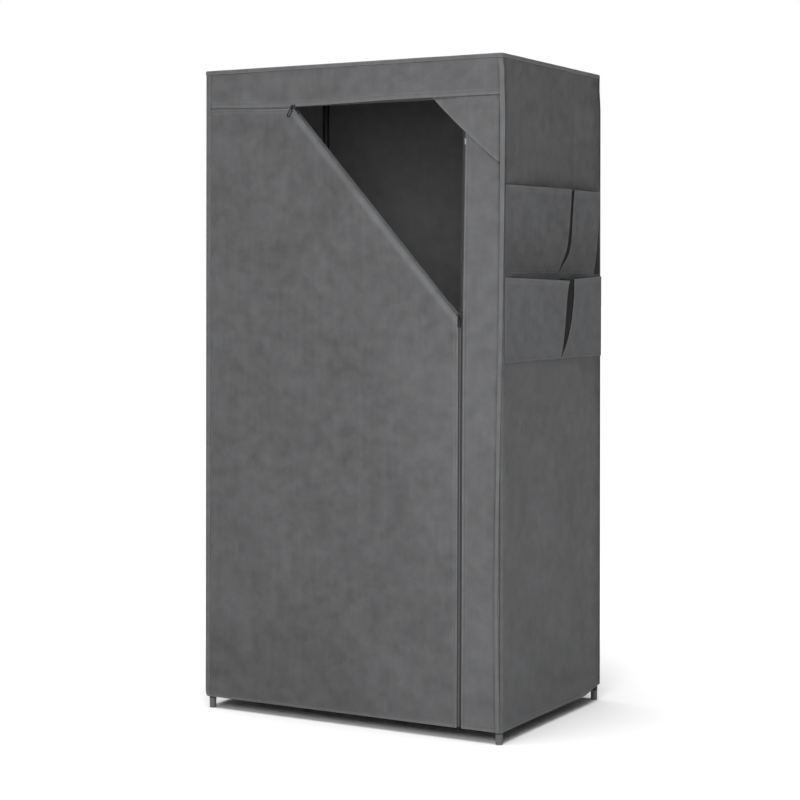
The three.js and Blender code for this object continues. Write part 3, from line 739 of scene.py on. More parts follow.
def strip_painted_light(x, z):
    """Painted light and shade on the strip: painted highlights at its hems, and painted shade under the
    gusset, along the stitches of its hem and beside the corner's band
    """
    below = below_gusset(x, z)
    shadow = 1.5 * near(below, 2.4 * MM) + 0.45 * near(below, 40 * MM)
    light_and_shade = hem_highlight(x - STRIP_LEFT, STRIP_HEM) + hem_highlight(z - BOTTOM, BOTTOM_HEM)
    shadow += 0.8 * near(x - STRIP_LEFT - STRIP_HEM, 1.3 * MM)
    return light_and_shade - shadow - band_shade(x, z)


def make_strip():
    line = STRIP_LEFT + STRIP_HEM
    across = lines_between(STRIP_LEFT, STRIP_FINE_START, marks=[line], rolled=(True, False))
    across += lines_between(STRIP_FINE_START, SEAM_RIGHT, step=FINE_STEP, rolled=(False, True))[1:]
    up = lines_between(BOTTOM, STRIP_FINE_LOW, marks=[HEM_LINE])
    up += lines_between(STRIP_FINE_LOW, STRIP_TOP, step=FINE_STEP)[1:]
    seams = up_seam(line, BOTTOM, STRIP_TOP), along_hem(STRIP_LEFT, SEAM_RIGHT)
    cloth_panel(
        "strip",
        cloth_grid(across, up, strip_surface, strip_painted_light),
        sew_lines(strip_surface, *seams),
        nodes=["cover_strip"],
        flat=(SEAM_RIGHT - STRIP_LEFT, STRIP_TOP - BOTTOM),
        held="hung",
        rests_on=["header_cloth", "right_side_cloth"],
    )


def gusset_surface(along, inwards):
    """along runs down the free edge from the tip to the foot, inwards from that edge to the sewn ones"""
    free = gusset_tip + gusset_edge * along + gusset_square * GUSSET_BOW * math.sin(math.pi * along)
    if along < 0.5:
        sewn = gusset_tip.lerp(gusset_corner, along * 2)
    else:
        sewn = gusset_corner.lerp(gusset_foot, along * 2 - 1)
    place = free.lerp(sewn, inwards)
    distance = (sewn - free).length * inwards
    tucked = eased(place.y - gusset_corner.y + 30 * MM, 30 * MM)
    lift = GUSSET_LIFT - (GUSSET_LIFT + 1.5 * MM) * tucked
    lift += 0.4 * MM * soft_wave(place.x, place.y, 50 * MM, 50 * MM, 4.4)
    lift -= hem_dip(distance, GUSSET_HEM)
    lift -= (GUSSET_LIFT - 0.3 * MM) * eased(place.x - SEAM_RIGHT + 14 * MM, 14 * MM) * (1 - tucked)
    return flared(on_front(place.x, lift, place.y))


def make_gusset():
    along = [index / 48 for index in range(49)]
    last = GUSSET_LINES[-1]
    inwards = GUSSET_LINES + [last + (1 - last) * index / 30 for index in range(1, 31)]
    reach = (gusset_corner - gusset_tip.lerp(gusset_foot, 0.5)).length

    def from_edge(along, inwards):
        return inwards * reach * 2 * min(along, 1 - along)

    # Painted shadow on the gusset just under the header's hem, painted shade beside the corner's band and
    # painted highlights at its hems
    def painted_light(along, inwards):
        place = gusset_surface(along, inwards)
        below = HEADER_LOW + 2 * MM - place.z
        shadow = 1.6 * near(below, 2.2 * MM) + band_shade(place.x, place.z)
        return hem_highlight(from_edge(along, inwards), GUSSET_HEM) - shadow

    def path(share):
        along = 0.06 + GUSSET_SEWN * share
        return gusset_surface(along, GUSSET_HEM / from_edge(along, 1.0))

    bm = cloth_grid(along, inwards, gusset_surface, painted_light)
    weave = bm.loops.layers.uv.active
    for face in bm.faces:
        for loop in face.loops:
            loop[weave].uv = (loop.vert.co.x, loop.vert.co.z)
    bmesh.ops.remove_doubles(bm, verts=bm.verts, dist=0.05 * MM)
    stitches = bmesh.new()
    sew(stitches, path, gusset_edge.length * GUSSET_SEWN)
    width, height = gusset_foot.x - gusset_tip.x, gusset_corner.y - gusset_foot.y
    cloth_panel(
        "gusset",
        bm,
        stitches,
        nodes=["corner_gusset"],
        flat=(width, height),
        area=width * height * GUSSET_AREA_SHARE,
        held="hung",
        rests_on=["header_cloth", "strip_cloth"],
    )


def corner_band_surface(across, z):
    """The band lies flat towards the floor and stands off the side towards the top"""
    start, end = (read_off(CORNER_BAND, z / MM, column) * MM for column in (1, 2))
    share = across / BAND_WIDTH
    x = start + (end - start) * share
    out = 1.9 * MM + 0.3 * MM * soft_wave(across, z, 20 * MM, 90 * MM, 95.0)
    out -= edge_drop(across, BAND_ROLL) + edge_drop(BAND_WIDTH - across, BAND_ROLL)
    free = Vector((x, FRONT - out + 0.12 * max(0.0, x - POST_X), z))
    bound = on_front(SEAM_RIGHT + (share - 0.5) * BAND_WIDTH, 0.4 * MM, z)
    return bound.lerp(free, eased(PANEL_TOP - z, 25 * MM))


def make_corner_band():
    across = lines_between(0, BAND_WIDTH, step=2 * MM)
    up = lines_between(BOTTOM, PANEL_TOP)
    cloth_panel(
        "corner_band",
        # The whole band is painted paler: a painted highlight where it faces the light
        cloth_grid(across, up, corner_band_surface, lambda across, z: 0.35),
        sew_lines(corner_band_surface, up_seam(BAND_STITCH, BOTTOM, PANEL_TOP)),
        nodes=["cover_right"],
        flat=(BAND_WIDTH, PANEL_TOP - BOTTOM),
        held="folded",
        rests_on=["strip_cloth", "right_side_cloth"],
    )


# The sides and the back
POCKET_ZONE = (low("pocket_lower_front").z - 30 * MM, high("pocket_upper_front").z + 30 * MM)
HEM_RISE = 17 * MM
BACK_HEM_RISE = 12 * MM
SIDE_SEAM_STITCH = 241.5 * MM
LEFT_SEED = 71.0
RIGHT_SEED = 75.0
LEFT_CORNER = LEFT_LENGTH - (SEAM_LEFT - LEFT - CORNER_RADIUS) - CORNER_RADIUS * math.pi / 2
WALL_START = next(
    along for point, along in zip(*RIGHT_LINE[:2]) if abs(point.y - FRONT - CORNER_RADIUS) < 0.01 * MM
)
SIDE_SEAM = SIDE_SEAM_STITCH - FRONT - CORNER_RADIUS + WALL_START
SEAM_OFFSETS = (-4, -2.5, -1.5, -0.7, 0, 0.7, 1.5, 2.5, 4)
SIDE_SEAM_LINES = [SIDE_SEAM + STITCH_WIDTH * offset for offset in SEAM_OFFSETS]


def side_slack(y, z, seed):
    """The slack of a side panel between its posts"""
    free = between(y, FRONT + CORNER_RADIUS, BACK - BACK_REACH, 70 * MM)
    free *= eased(PANEL_TOP - z, 90 * MM) * eased(z - BOTTOM, 60 * MM)
    out = -2.4 * MM * free
    out += 2.6 * MM * free * soft_wave(y, z, 170 * MM, 330 * MM, seed)
    out += 0.9 * MM * free * soft_wave(y + 0.6 * z, z - 0.4 * y, 60 * MM, 210 * MM, seed + 7)
    return out


def wall_fullness(y, z):
    """How far the right wall stands out before it turns to the back"""
    reach = BACK_FULLNESS * eased(y - 50 * MM, 150 * MM)
    return reach * eased(PANEL_TOP - z, 80 * MM) * eased(BACK - y, 10 * MM)


def sewn_edges(distance, length, z, seed):
    """What the hem, the seams and the gathers beside them add to a side panel"""
    out = 0.45 * MM * pucker(distance, PANEL_TOP - z, seed + 1)
    out += 0.35 * MM * pucker(distance, z - BOTTOM, seed + 2, reach=16 * MM)
    return out - hem_dip(z - BOTTOM, BOTTOM_HEM) - edge_drop(distance) - edge_drop(length - distance)


def lifted_hem(z, rise, reach):
    """A height on a panel whose lower edge is drawn up, which fades out over so many times the rise"""
    return z + rise * max(0.0, 1 - (z - BOTTOM) / reach)


def right_surface(distance, z):
    place, facing = place_on(RIGHT_LINE, distance)
    out = side_slack(place.y, z, RIGHT_SEED)
    if POCKET_ZONE[0] < z < POCKET_ZONE[1]:
        out = min(out, 0.1 * MM)
    out += wall_fullness(place.y, z) + sewn_edges(distance, RIGHT_LENGTH, z, RIGHT_SEED)
    out -= 1.3 * stitch_dip((place.y - SIDE_SEAM_STITCH) / 2)
    rise = BACK_HEM_RISE * eased(place.y - 150 * MM, 100 * MM)
    place += facing * out
    place.z = lifted_hem(z, rise, 6 * BACK_HEM_RISE)
    return flared(place)


# Painted highlights at the bottom hem
def bottom_highlight(distance, z):
    return hem_highlight(z - BOTTOM, BOTTOM_HEM)


def right_painted_light(distance, z):
    """Painted light and shade on the right wall: painted shade where it turns to the front and the back,
    along its seam, towards its top and above the pockets, and painted highlights at its hem
    """
    y = place_on(RIGHT_LINE, distance)[0].y
    seam = 1.1 * near(y - SIDE_SEAM_STITCH, 3 * MM)
    corner = 0.9 * near(y - FRONT - 14 * MM, 6 * MM) * eased(z - 0.5, 0.6)
    corner += 1.9 * near(distance, 2.6 * MM) * eased(1.0 - z, 0.3)
    upper = 0.22 * eased(z - 0.45, 0.3) + 0.4 * eased(z - 1.17, 0.04)
    return bottom_highlight(distance, z) - seam - corner - upper - 0.6 * eased(y - 190 * MM, 45 * MM)


def left_surface(distance, z):
    place, facing = place_on(LEFT_LINE, distance)
    out = side_slack(place.y, z, LEFT_SEED) + sewn_edges(distance, LEFT_LENGTH, z, LEFT_SEED)
    place += facing * out
    past = distance - LEFT_CORNER
    raised = 1 - (eased(past, 16 * MM) if past > 0 else eased(-past, 60 * MM))
    place.z = lifted_hem(z, HEM_RISE * raised, 4 * HEM_RISE)
    return flared(place)


def make_side(side, line, surface, painted_light, seam_lines=(), seams=()):
    length = line[1][-1]
    bends = [distance for distance in line[1] if 0 < distance < length]
    across = well_apart(clear_of(lines_between(0, length), bends) + bends + list(seam_lines))
    up = lines_between(BOTTOM, PANEL_TOP, marks=[HEM_LINE])
    cloth_panel(
        f"{side}_side",
        cloth_grid(across, up, surface, painted_light),
        sew_lines(surface, along_hem(0, length), *seams),
        nodes=[f"cover_{side}"],
        flat=(length, PANEL_TOP - BOTTOM),
        held="stretched",
        rests_on=[f"upper_post_front_{side}", f"upper_post_back_{side}"],
    )


def back_surface(along, z):
    """along runs from the right seam to the left one, as seen from the front"""
    x = BACK_SEAM - along
    free = between(along, 0, BACK_WIDTH, 80 * MM) * eased(PANEL_TOP - z, 90 * MM)
    out = -1.5 * MM * free
    out += 2.8 * MM * free * soft_wave(x, z, 200 * MM, 380 * MM, 12.4)
    out += 1.0 * MM * free * soft_wave(x + 0.5 * z, z - 0.5 * x, 70 * MM, 240 * MM, 15.8)
    out += sewn_edges(along, BACK_WIDTH, z, 21.0)
    return flared(Vector((x, BACK + out, z)))


def make_back():
    across = lines_between(0, BACK_WIDTH)
    up = lines_between(BOTTOM, PANEL_TOP, marks=[HEM_LINE])
    cloth_panel(
        "back",
        cloth_grid(across, up, back_surface, bottom_highlight),
        sew_lines(back_surface, along_hem(0, BACK_WIDTH)),
        nodes=["cover_back"],
        flat=(BACK_WIDTH, PANEL_TOP - BOTTOM),
        held="stretched",
        rests_on=["top_rail_back"],
    )


# The top and its binding
TOP_SAG = 7 * MM
TOP_STEP = 9 * MM
TOP_INSET = 0.6 * MM
BASE_SAG = 6 * MM
BASE_STEP = 12 * MM
BINDING_CLOTH = 0.8 * MM

# The binding's section: how far in from the edge and above the top, in millimetres, and how pale it is
# painted, a painted highlight where its folds catch the light
BINDING_SECTION = [
    (1.6, -8.6, 0), (0.2, -8.7, 0.6), (-0.6, -8.2, 1), (-0.9, -7.4, 0.4), (-0.75, -6.8, 0), (-1.0, -6.0, 0.2),
    (-1.1, -3.5, 0), (-1.0, -1.2, 0.3), (-0.5, -0.2, 1), (0.6, 0.5, 1), (2.4, 0.7, 0.3), (5.6, 0.65, 0),
    (6.2, 0.45, 0), (6.8, 0.6, 0), (7.6, 0.45, 0.5), (8.0, -0.2, 0),
]
BINDING_STITCHES = ((-0.85, -6.8), (6.3, 0.6))


def round_the_top(distance, inset, height):
    """A place that far round the edge of the top from the middle of its back"""
    place, facing = place_on(TOP_LINE, distance)
    place -= facing * inset
    place.z = TOP + height
    return place


def make_binding():
    """The tape that is folded over the edge of the top"""
    bends = TOP_LINE[1]
    count = round(TOP_ROUND / (6 * MM))
    even = [TOP_ROUND * index / count for index in range(count + 1)]
    across = well_apart(clear_of(even, bends[1:-1]) + bends)
    up = [index * MM for index in range(len(BINDING_SECTION))]

    def surface(distance, row):
        inset, height, painted_light = BINDING_SECTION[round(row / MM)]
        waves = 0.25 * MM * soft_wave(distance, row, 40 * MM, 1.0, 30.5)
        waves *= between(distance, 0, TOP_ROUND, 20 * MM)
        return round_the_top(distance, inset * MM, height * MM + waves)

    bm = cloth_grid(across, up, surface, lambda distance, row: BINDING_SECTION[round(row / MM)][2])
    bmesh.ops.remove_doubles(bm, verts=bm.verts, dist=0.02 * MM)
    binding = new_piece("top_binding", bm, cover_cloth)
    thicken(binding, BINDING_CLOTH)
    bm = bmesh.new()
    for inset, height in BINDING_STITCHES:
        sew(bm, lambda share: round_the_top(TOP_ROUND * share, inset * MM, height * MM), TOP_ROUND)
    return binding, new_piece("binding_stitches", bm, thread)


def top_surface(x, y):
    """The top sags between its rails and is cut round at its corners"""
    free = eased(min(x - LEFT, RIGHT - x) - 12 * MM, 0.2) * eased(min(y - FRONT, BACK - y) - 12 * MM, 0.16)
    z = TOP - 0.4 * MM - TOP_SAG * free
    z += 1.4 * MM * soft_wave(x, y, 110 * MM, 90 * MM, 33.0) * eased(min(x - LEFT, RIGHT - x), 60 * MM)
    reach = BACK_REACH if y > CENTRE_Y else CORNER_RADIUS
    edge_y = BACK if y > CENTRE_Y else FRONT
    corner_x = (RIGHT - LEFT) / 2 - CORNER_RADIUS
    beyond_x = (abs(x - CENTRE_X) - corner_x) / CORNER_RADIUS
    beyond_y = 1 - abs(y - edge_y) / reach
    if beyond_x > 0 and beyond_y > 0:
        squeeze = max(beyond_x, beyond_y) / math.hypot(beyond_x, beyond_y)
        x = CENTRE_X + math.copysign(corner_x + beyond_x * squeeze * CORNER_RADIUS, x - CENTRE_X)
        y = edge_y + math.copysign(reach * (1 - beyond_y * squeeze), CENTRE_Y - edge_y)
    return Vector((x, y, z))


def make_top():
    across = plain_lines(LEFT + TOP_INSET, RIGHT - TOP_INSET, TOP_STEP)
    up = plain_lines(FRONT + TOP_INSET, BACK - TOP_INSET, TOP_STEP)
    panel = new_piece("top_cloth", cloth_grid(across, up, top_surface), cover_cloth)
    thicken(panel, CLOTH)
    binding, stitches = make_binding()
    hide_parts("cover_top")
    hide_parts("cover_top")


def make_base():
    """The base sheet lies on the bottom rails, cut away round the posts"""
    sheet_low, sheet_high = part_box("base_sheet")
    size = sheet_high - sheet_low
    half_x, half_y = size.x / 2 - CORNER_RADIUS, size.y / 2 - CORNER_RADIUS
    across = plain_lines(sheet_low.x, sheet_high.x, BASE_STEP)
    up = plain_lines(sheet_low.y, sheet_high.y, BASE_STEP)

    def surface(x, y):
        inside = min(x - sheet_low.x, sheet_high.x - x, y - sheet_low.y, sheet_high.y - y)
        z = sheet_high.z - BASE_SAG * eased(inside - 12 * MM, 180 * MM)
        z += 1.2 * MM * soft_wave(x, y, 120 * MM, 120 * MM, 41.0) * eased(inside - 14 * MM, 0.1)
        return Vector((x, y, z))

    bm = cloth_grid(across, up, surface)
    for sign in (-1, 1):
        cut_along(bm, (CENTRE_X + sign * half_x, 0, 0), (1, 0, 0), 0.01 * MM)
        cut_along(bm, (0, CENTRE_Y + sign * half_y, 0), (0, 1, 0), 0.01 * MM)
    corners = []
    for face in bm.faces:
        middle = face.calc_center_median()
        if abs(middle.x - CENTRE_X) > half_x and abs(middle.y - CENTRE_Y) > half_y:
            corners.append(face)
    bmesh.ops.delete(bm, geom=corners, context="FACES")
    panel = new_piece("base_cloth", bm, cover_cloth)
    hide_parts("base_sheet")
    thicken(panel, CLOTH)


# Pockets on the right side
POCKET_STEP = 5 * MM
POCKET_LIFT = 1.3 * MM
POCKET_CLEAR = 12 * MM
POCKET_HEM = 7 * MM
POCKET_SEAMS = (2 * MM, 9 * MM)
POCKET_START = low("pocket_upper_front").y + 3.4 * MM
POCKET_END = high("pocket_lower_back").y
PLEAT_STEP = 6 * MM
PLEAT_COLUMNS = 6
PLEAT_STAND = 2 * MM

# Each pocket's two upright edges: share of the height, place along the side and stand off it in millimetres
POCKET_EDGES = {
    "pocket_upper_front": (
        [(0, POCKET_START / MM, 0), (1, POCKET_START / MM, 0)],
        [
            (0, 18, 0), (0.116, 30, 3), (0.248, 34, 12.6), (0.347, 35.5, 16.7),
            (0.578, 37, 20.9), (0.86, 37.8, 24.3), (1, 38, 25.2),
        ],
    ),
    "pocket_upper_back": (
        [
            (0, 18, 0), (0.09, 38, 1.2), (0.198, 56, 6.7), (0.33, 63, 12),
            (0.529, 66, 14.1), (0.777, 66.5, 16.7), (1, 65.5, 21),
        ],
        [(0, 208, 0), (0.243, 211, 8), (0.452, 213, 12.1), (0.748, 212, 16.8), (1, 210, 18.9)],
    ),
    "pocket_lower_front": (
        [(0, POCKET_START / MM, 0), (1, POCKET_START / MM, 0)],
        [
            (0, 34, 0), (0.122, 39, 2.2), (0.348, 40, 7.3),
            (0.59, 40, 11.4), (0.817, 40, 14.8), (1, 40, 19.6),
        ],
    ),
    "pocket_lower_back": (
        [
            (0, 34, 0), (0.154, 55, 3.3), (0.29, 65.5, 5.8), (0.479, 73, 9.8),
            (0.684, 76.8, 12.9), (0.855, 77.2, 14.9), (1, 77.2, 14.5),
        ],
        [(0, POCKET_END / MM, 0), (1, POCKET_END / MM, 0.5)],
    ),
}

# How far the first and last end of a mouth lie above the pocket's stated height, if they do
MOUTH_RISES = {"pocket_lower_front": (0, -7 * MM), "pocket_lower_back": (-3.6 * MM, 2.9 * MM)}

# Where a pleat meets the wall, if that isn't below its edge
PLEAT_FEET = {("pocket_upper_back", 1): 238 * MM}


def pocket_place(y, stand, z):
    """A place beside the right wall, whose own shape counts less the further the cloth stands off"""
    clear = max(0.0, 1 - max(stand, 0.0) / POCKET_CLEAR)
    return flared(Vector((RIGHT + (wall_fullness(y, z) + POCKET_LIFT) * clear + stand, y, z)))


def pocket_heights(node):
    bottom, mouth = low(node).z, high(node).z
    return bottom, mouth - bottom


def pocket_edge(node, side, height):
    """The place along the side and the stand of a pocket's first or last edge"""
    table = POCKET_EDGES[node][side]
    share = max(0.0, min(1.0, height))
    return read_off(table, share) * MM, max(0.0, read_off(table, share, 2) * MM)


def pocket_surface(node, seed):
    """The cloth of one pocket over its width share and its height in metres above the base"""
    bottom, tall = pocket_heights(node)
    rises = MOUTH_RISES.get(node, (0, 0))

    def surface(across, above):
        height = above / tall
        (first_y, first), (last_y, last) = (pocket_edge(node, side, height) for side in (0, 1))
        y = first_y + (last_y - first_y) * across
        swell = (across + math.sin(across * math.pi / 2)) / 2
        fall = (across + (1 - math.cos(across * math.pi)) / 2) / 2
        stand = first + (last - first) * (swell if last > first else fall)
        from_edge = min(across, 1 - across) * (last_y - first_y)
        full = eased(from_edge, 50 * MM) * eased(above, 50 * MM)
        stand += 1.8 * MM * soft_wave(y, above, 55 * MM, 60 * MM, seed) * full
        stand += 0.5 * MM * pucker(y, above, seed + 3, reach=20 * MM, length=11 * MM) * full
        stand += 0.5 * MM * eased(above - tall + POCKET_HEM + 2 * MM, 2 * MM)
        stand -= hem_dip(tall - above, POCKET_HEM) + 0.8 * stitch_dip(above - POCKET_SEAMS[0])
        stand -= 0.6 * stitch_dip(above - POCKET_SEAMS[1])
        stand -= 0.6 * edge_drop(above, HEM_ROLL) + edge_drop(from_edge, HEM_ROLL)
        z = bottom + above + height * (rises[0] + (rises[1] - rises[0]) * across)
        return pocket_place(y, max(stand, -0.8 * MM), z)

    return surface


def make_pocket(node, seed):
    tall = pocket_heights(node)[1]
    surface = pocket_surface(node, seed)
    ends = [pocket_edge(node, side, 1) for side in (0, 1)]
    width = ends[1][0] - ends[0][0]
    seams = (tall - POCKET_HEM, *POCKET_SEAMS)
    across = [line / width for line in lines_between(0, width, step=POCKET_STEP)]
    up = lines_between(0, tall, step=POCKET_STEP, marks=seams)

    # Painted highlights at the mouth's hem, at the base and its seam, and along the upright edges
    def painted_light(across, above):
        painted_tone = hem_highlight(tall - above, POCKET_HEM) + 0.6 * hem_highlight(above, POCKET_SEAMS[0])
        painted_tone += hem_highlight(min(across, 1 - across) * width, 1) * eased(above, 20 * MM)
        # Painted shade: the upper pockets are darker, most of all towards their base
        if "upper" in node:
            painted_tone -= 0.5 + 0.75 * (1 - eased(above, 0.75 * tall))
        return painted_tone

    bm = cloth_grid(across, up, surface, painted_light)
    widen_weave(bm, width)
    stitches = bmesh.new()
    for above in seams:
        sew(stitches, lambda share: surface(0.01 + 0.98 * share, above), width)
    cloth_panel(
        node,
        bm,
        stitches,
        nodes=[node],
        finish=pocket_cloth,
        slot="pocket_cloth",
        flat=(width + max(stand for y, stand in ends) / 2, tall),
        held="hung",
        rests_on=["right_side_cloth"],
    )
    for side in (0, 1):
        if ends[side][1] > PLEAT_STAND:
            make_pleat(node, side)


def pleat_surface(node, side):
    """The cloth that is tucked in from a pocket's edge to the wall"""
    bottom, tall = pocket_heights(node)
    rise = MOUTH_RISES.get(node, (0, 0))[side]
    foot = PLEAT_FEET.get((node, side), pocket_edge(node, side, 0)[0])
    sunk = -0.6 * MM if (node, side) in PLEAT_FEET else 0.9 * MM

    def surface(inwards, above):
        height = above / tall
        y, stand = pocket_edge(node, side, height)
        share = inwards if side else 1 - inwards
        y += (foot - y) * share
        stand = (stand - 0.5 * MM) * (1 - share) - sunk
        return pocket_place(y, stand, bottom + above + height * rise * (1 - share) - 2 * MM * height)

    return surface


def make_pleat(node, side):
    tall = pocket_heights(node)[1]
    surface = pleat_surface(node, side)
    depth = (surface(0, tall) - surface(1, tall)).length
    across = [index / PLEAT_COLUMNS for index in range(PLEAT_COLUMNS + 1)]
    bm = cloth_grid(across, plain_lines(0, tall, PLEAT_STEP), surface)
    widen_weave(bm, depth)
    area = sum(face.calc_area() for face in bm.faces)
    # The pleat's near-black cloth is painted shade
    pleat = new_piece(f"{node}_{('front', 'back')[side]}_pleat", bm, shaded_pleat_cloth)
    thicken(pleat, CLOTH * 0.7)


# The door and its folded corner
DOOR_STEP = 6 * MM
HINGE_STEP = 2.5 * MM
FOLD_CUT_SHARES = (-2, -1, -0.6, -0.3, -0.12, 0, 0.3, 1)


def towards_fold(point):
    """How far a place in the closed door's plane lies beyond the line that the corner folds about"""
    return (point - FOLD_POINT).dot(FOLD_OUT)


def fold_profile(distance):
    """The cloth swells a little beside the fold and then curves back into it"""
    if distance > FOLD_BAND:
        return FOLD_RAISE * near(distance - FOLD_BAND, 25 * MM)
    return FOLD_RAISE - (FOLD_RAISE + FOLD_SINK) * (1 - distance / FOLD_BAND) ** 2


def door_bulge(x, z):
    """The slack of the door: broad upright bands, slanting creases that run with the fold, and gathers"""
    place = Vector((x, 0, z))
    beyond = -towards_fold(place)
    along = (place - FOLD_POINT).dot(FOLD_ALONG)
    free = between(x, SEAM_LEFT, DOOR_RIGHT, 50 * MM) * between(z, BOTTOM, DOOR_TOP, 60 * MM)
    out = 1.3 * MM * free * soft_wave(x, z, 150 * MM, 420 * MM, 51.0)
    out += 0.6 * MM * free * soft_wave(x, z, 60 * MM, 500 * MM, 55.0)
    slant = free * eased(beyond - 20 * MM, 60 * MM) * math.exp(-max(0.0, beyond) / 0.32)
    out += 1.3 * MM * slant * soft_wave(beyond, along, 48 * MM, 260 * MM, 58.0)
    out *= eased(abs(beyond), 30 * MM)
    ends = between(along, -5 * MM, FOLD_LENGTH + 5 * MM, 50 * MM)
    if beyond >= 0:
        out += fold_profile(beyond) * ends
    else:
        out -= FOLD_SINK * ends * (1 - eased(-beyond, FOLD_BAND))
    out += 0.3 * MM * pucker(x, z - BOTTOM, 61.0, reach=16 * MM)
    out += 0.3 * MM * pucker(z, DOOR_RIGHT - x, 63.0, reach=14 * MM)
    out += 0.3 * MM * pucker(x, DOOR_TOP - z, 65.0, reach=16 * MM)
    return out


def door_surface(x, z):
    """The closed door's outer face, before its corner is folded in"""
    out = door_bulge(x, z) - edge_drop(x - SEAM_LEFT) - hem_dip(z - BOTTOM, BOTTOM_HEM)
    out -= hem_dip(DOOR_TOP - z, DOOR_HEM) + hem_dip(DOOR_RIGHT - x, DOOR_HEM)
    return hung(Vector((x, FRONT - max(out, -DEEPEST), z)))


def door_painted_light(x, z):
    """Painted light and shade on the door: painted highlights at its hems and beside its fold, painted light
    in its lower right half, and painted shade towards its lower left and over the whole door
    """
    light_and_shade = hem_highlight(DOOR_TOP - z, DOOR_HEM) + hem_highlight(DOOR_RIGHT - x, DOOR_HEM)
    beside = -towards_fold(Vector((x, 0, z))) - 9 * MM
    light_and_shade += hem_highlight(z - BOTTOM, BOTTOM_HEM) + 1.2 * near(beside, 5.5 * MM)
    pale = near(x - 0.24, 0.13) * near(z - 0.72, 0.3)
    light_and_shade += eased(0.3 - z, 0.2) * (0.3 - 0.6 * eased(0.12 - x, 0.2))
    return light_and_shade - 0.55 + 0.5 * pale


def folded_in(point):
    """Where a place on the closed corner lies once it is folded in behind the door"""
    turned = point - FOLD_OUT * 2 * towards_fold(point)
    turned.y = 2 * FOLD_POINT.y - point.y
    return turned


def fold_corner(bm):
    """Cuts a sheet along the fold, lays its corner behind it and rolls the cloth between them"""
    bmesh.ops.split_edges(bm, edges=cut_along(bm, FOLD_POINT, FOLD_OUT))
    corner_faces = [face for face in bm.faces if towards_fold(face.calc_center_median()) > 0]
    corner = {vert for face in corner_faces for vert in face.verts}
    rim = []
    for edge in bm.edges:
        on_fold = all(abs(towards_fold(vert.co)) < 0.1 * MM for vert in edge.verts)
        if edge.is_boundary and on_fold and not set(edge.verts) & corner:
            rim.append(edge)
    for vert in corner:
        vert.co = folded_in(vert.co)
    turn = {"cent": FOLD_POINT, "axis": FOLD_ALONG, "angle": math.pi, "steps": ROLL_STEPS}
    bmesh.ops.spin(bm, geom=rim, use_merge=False, **turn)
    for vert in bm.verts:
        reach = towards_fold(vert.co)
        if reach > 0.01 * MM:
            radius = math.hypot(reach, vert.co.y - FOLD_POINT.y)
            vert.co -= FOLD_OUT * reach * (1 - ROLL_REACH / radius)
    bmesh.ops.remove_doubles(bm, verts=bm.verts, dist=0.08 * MM)


def small_solids(bm):
    """The separate solids of a mesh, each as a list of its points"""
    solids, seen = [], set()
    for seed in list(bm.verts):
        if seed in seen:
            continue
        solid, waiting = [], [seed]
        seen.add(seed)
        while waiting:
            vert = waiting.pop()
            solid.append(vert)
            for edge in vert.link_edges:
                other = edge.other_vert(vert)
                if other not in seen:
                    seen.add(other)
                    waiting.append(other)
        solids.append(solid)
    return solids


def fold_solids(bm):
    """Turns the small solids beyond the fold in with the corner, and drops those on the roll"""
    for solid in small_solids(bm):
        reach = sum((towards_fold(vert.co) for vert in solid), 0.0) / len(solid)
        if abs(reach) < 2 * MM:
            bmesh.ops.delete(bm, geom=solid, context="VERTS")
        elif reach > 0:
            for vert in solid:
                vert.co = folded_in(vert.co)


def sharpen_end(bm, x):
    """Keeps the face of a panel flat up to a cut end, where it goes on as another piece"""
    for edge in bm.edges:
        if edge.is_boundary and all(abs(vert.co.x - x) < 0.001 * MM for vert in edge.verts):
            edge.smooth = False


def hang_door(bm):
    """Gives a flat part of the door its slack and its painted light and shade"""
    painted_tone = bm.verts.layers.float.active
    sharpen_end(bm, HINGE_END)
    for vert in bm.verts:
        x, z = vert.co.x, vert.co.z
        vert[painted_tone] = door_painted_light(x, z)
        vert.co = door_surface(x, z)


def blend_over_fold(piece):
    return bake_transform(piece, "door", "door_corner", start=BLEND_START, end=BLEND_END)


def blend_at_hinge(piece):
    """The cloth beside the left seam bends while the rest of the door swings"""
    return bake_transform(piece, "wardrobe", "door", start=HINGE_START, end=HINGE_FREE)


def flat_door(x, z):
    return Vector((x, FRONT, z))


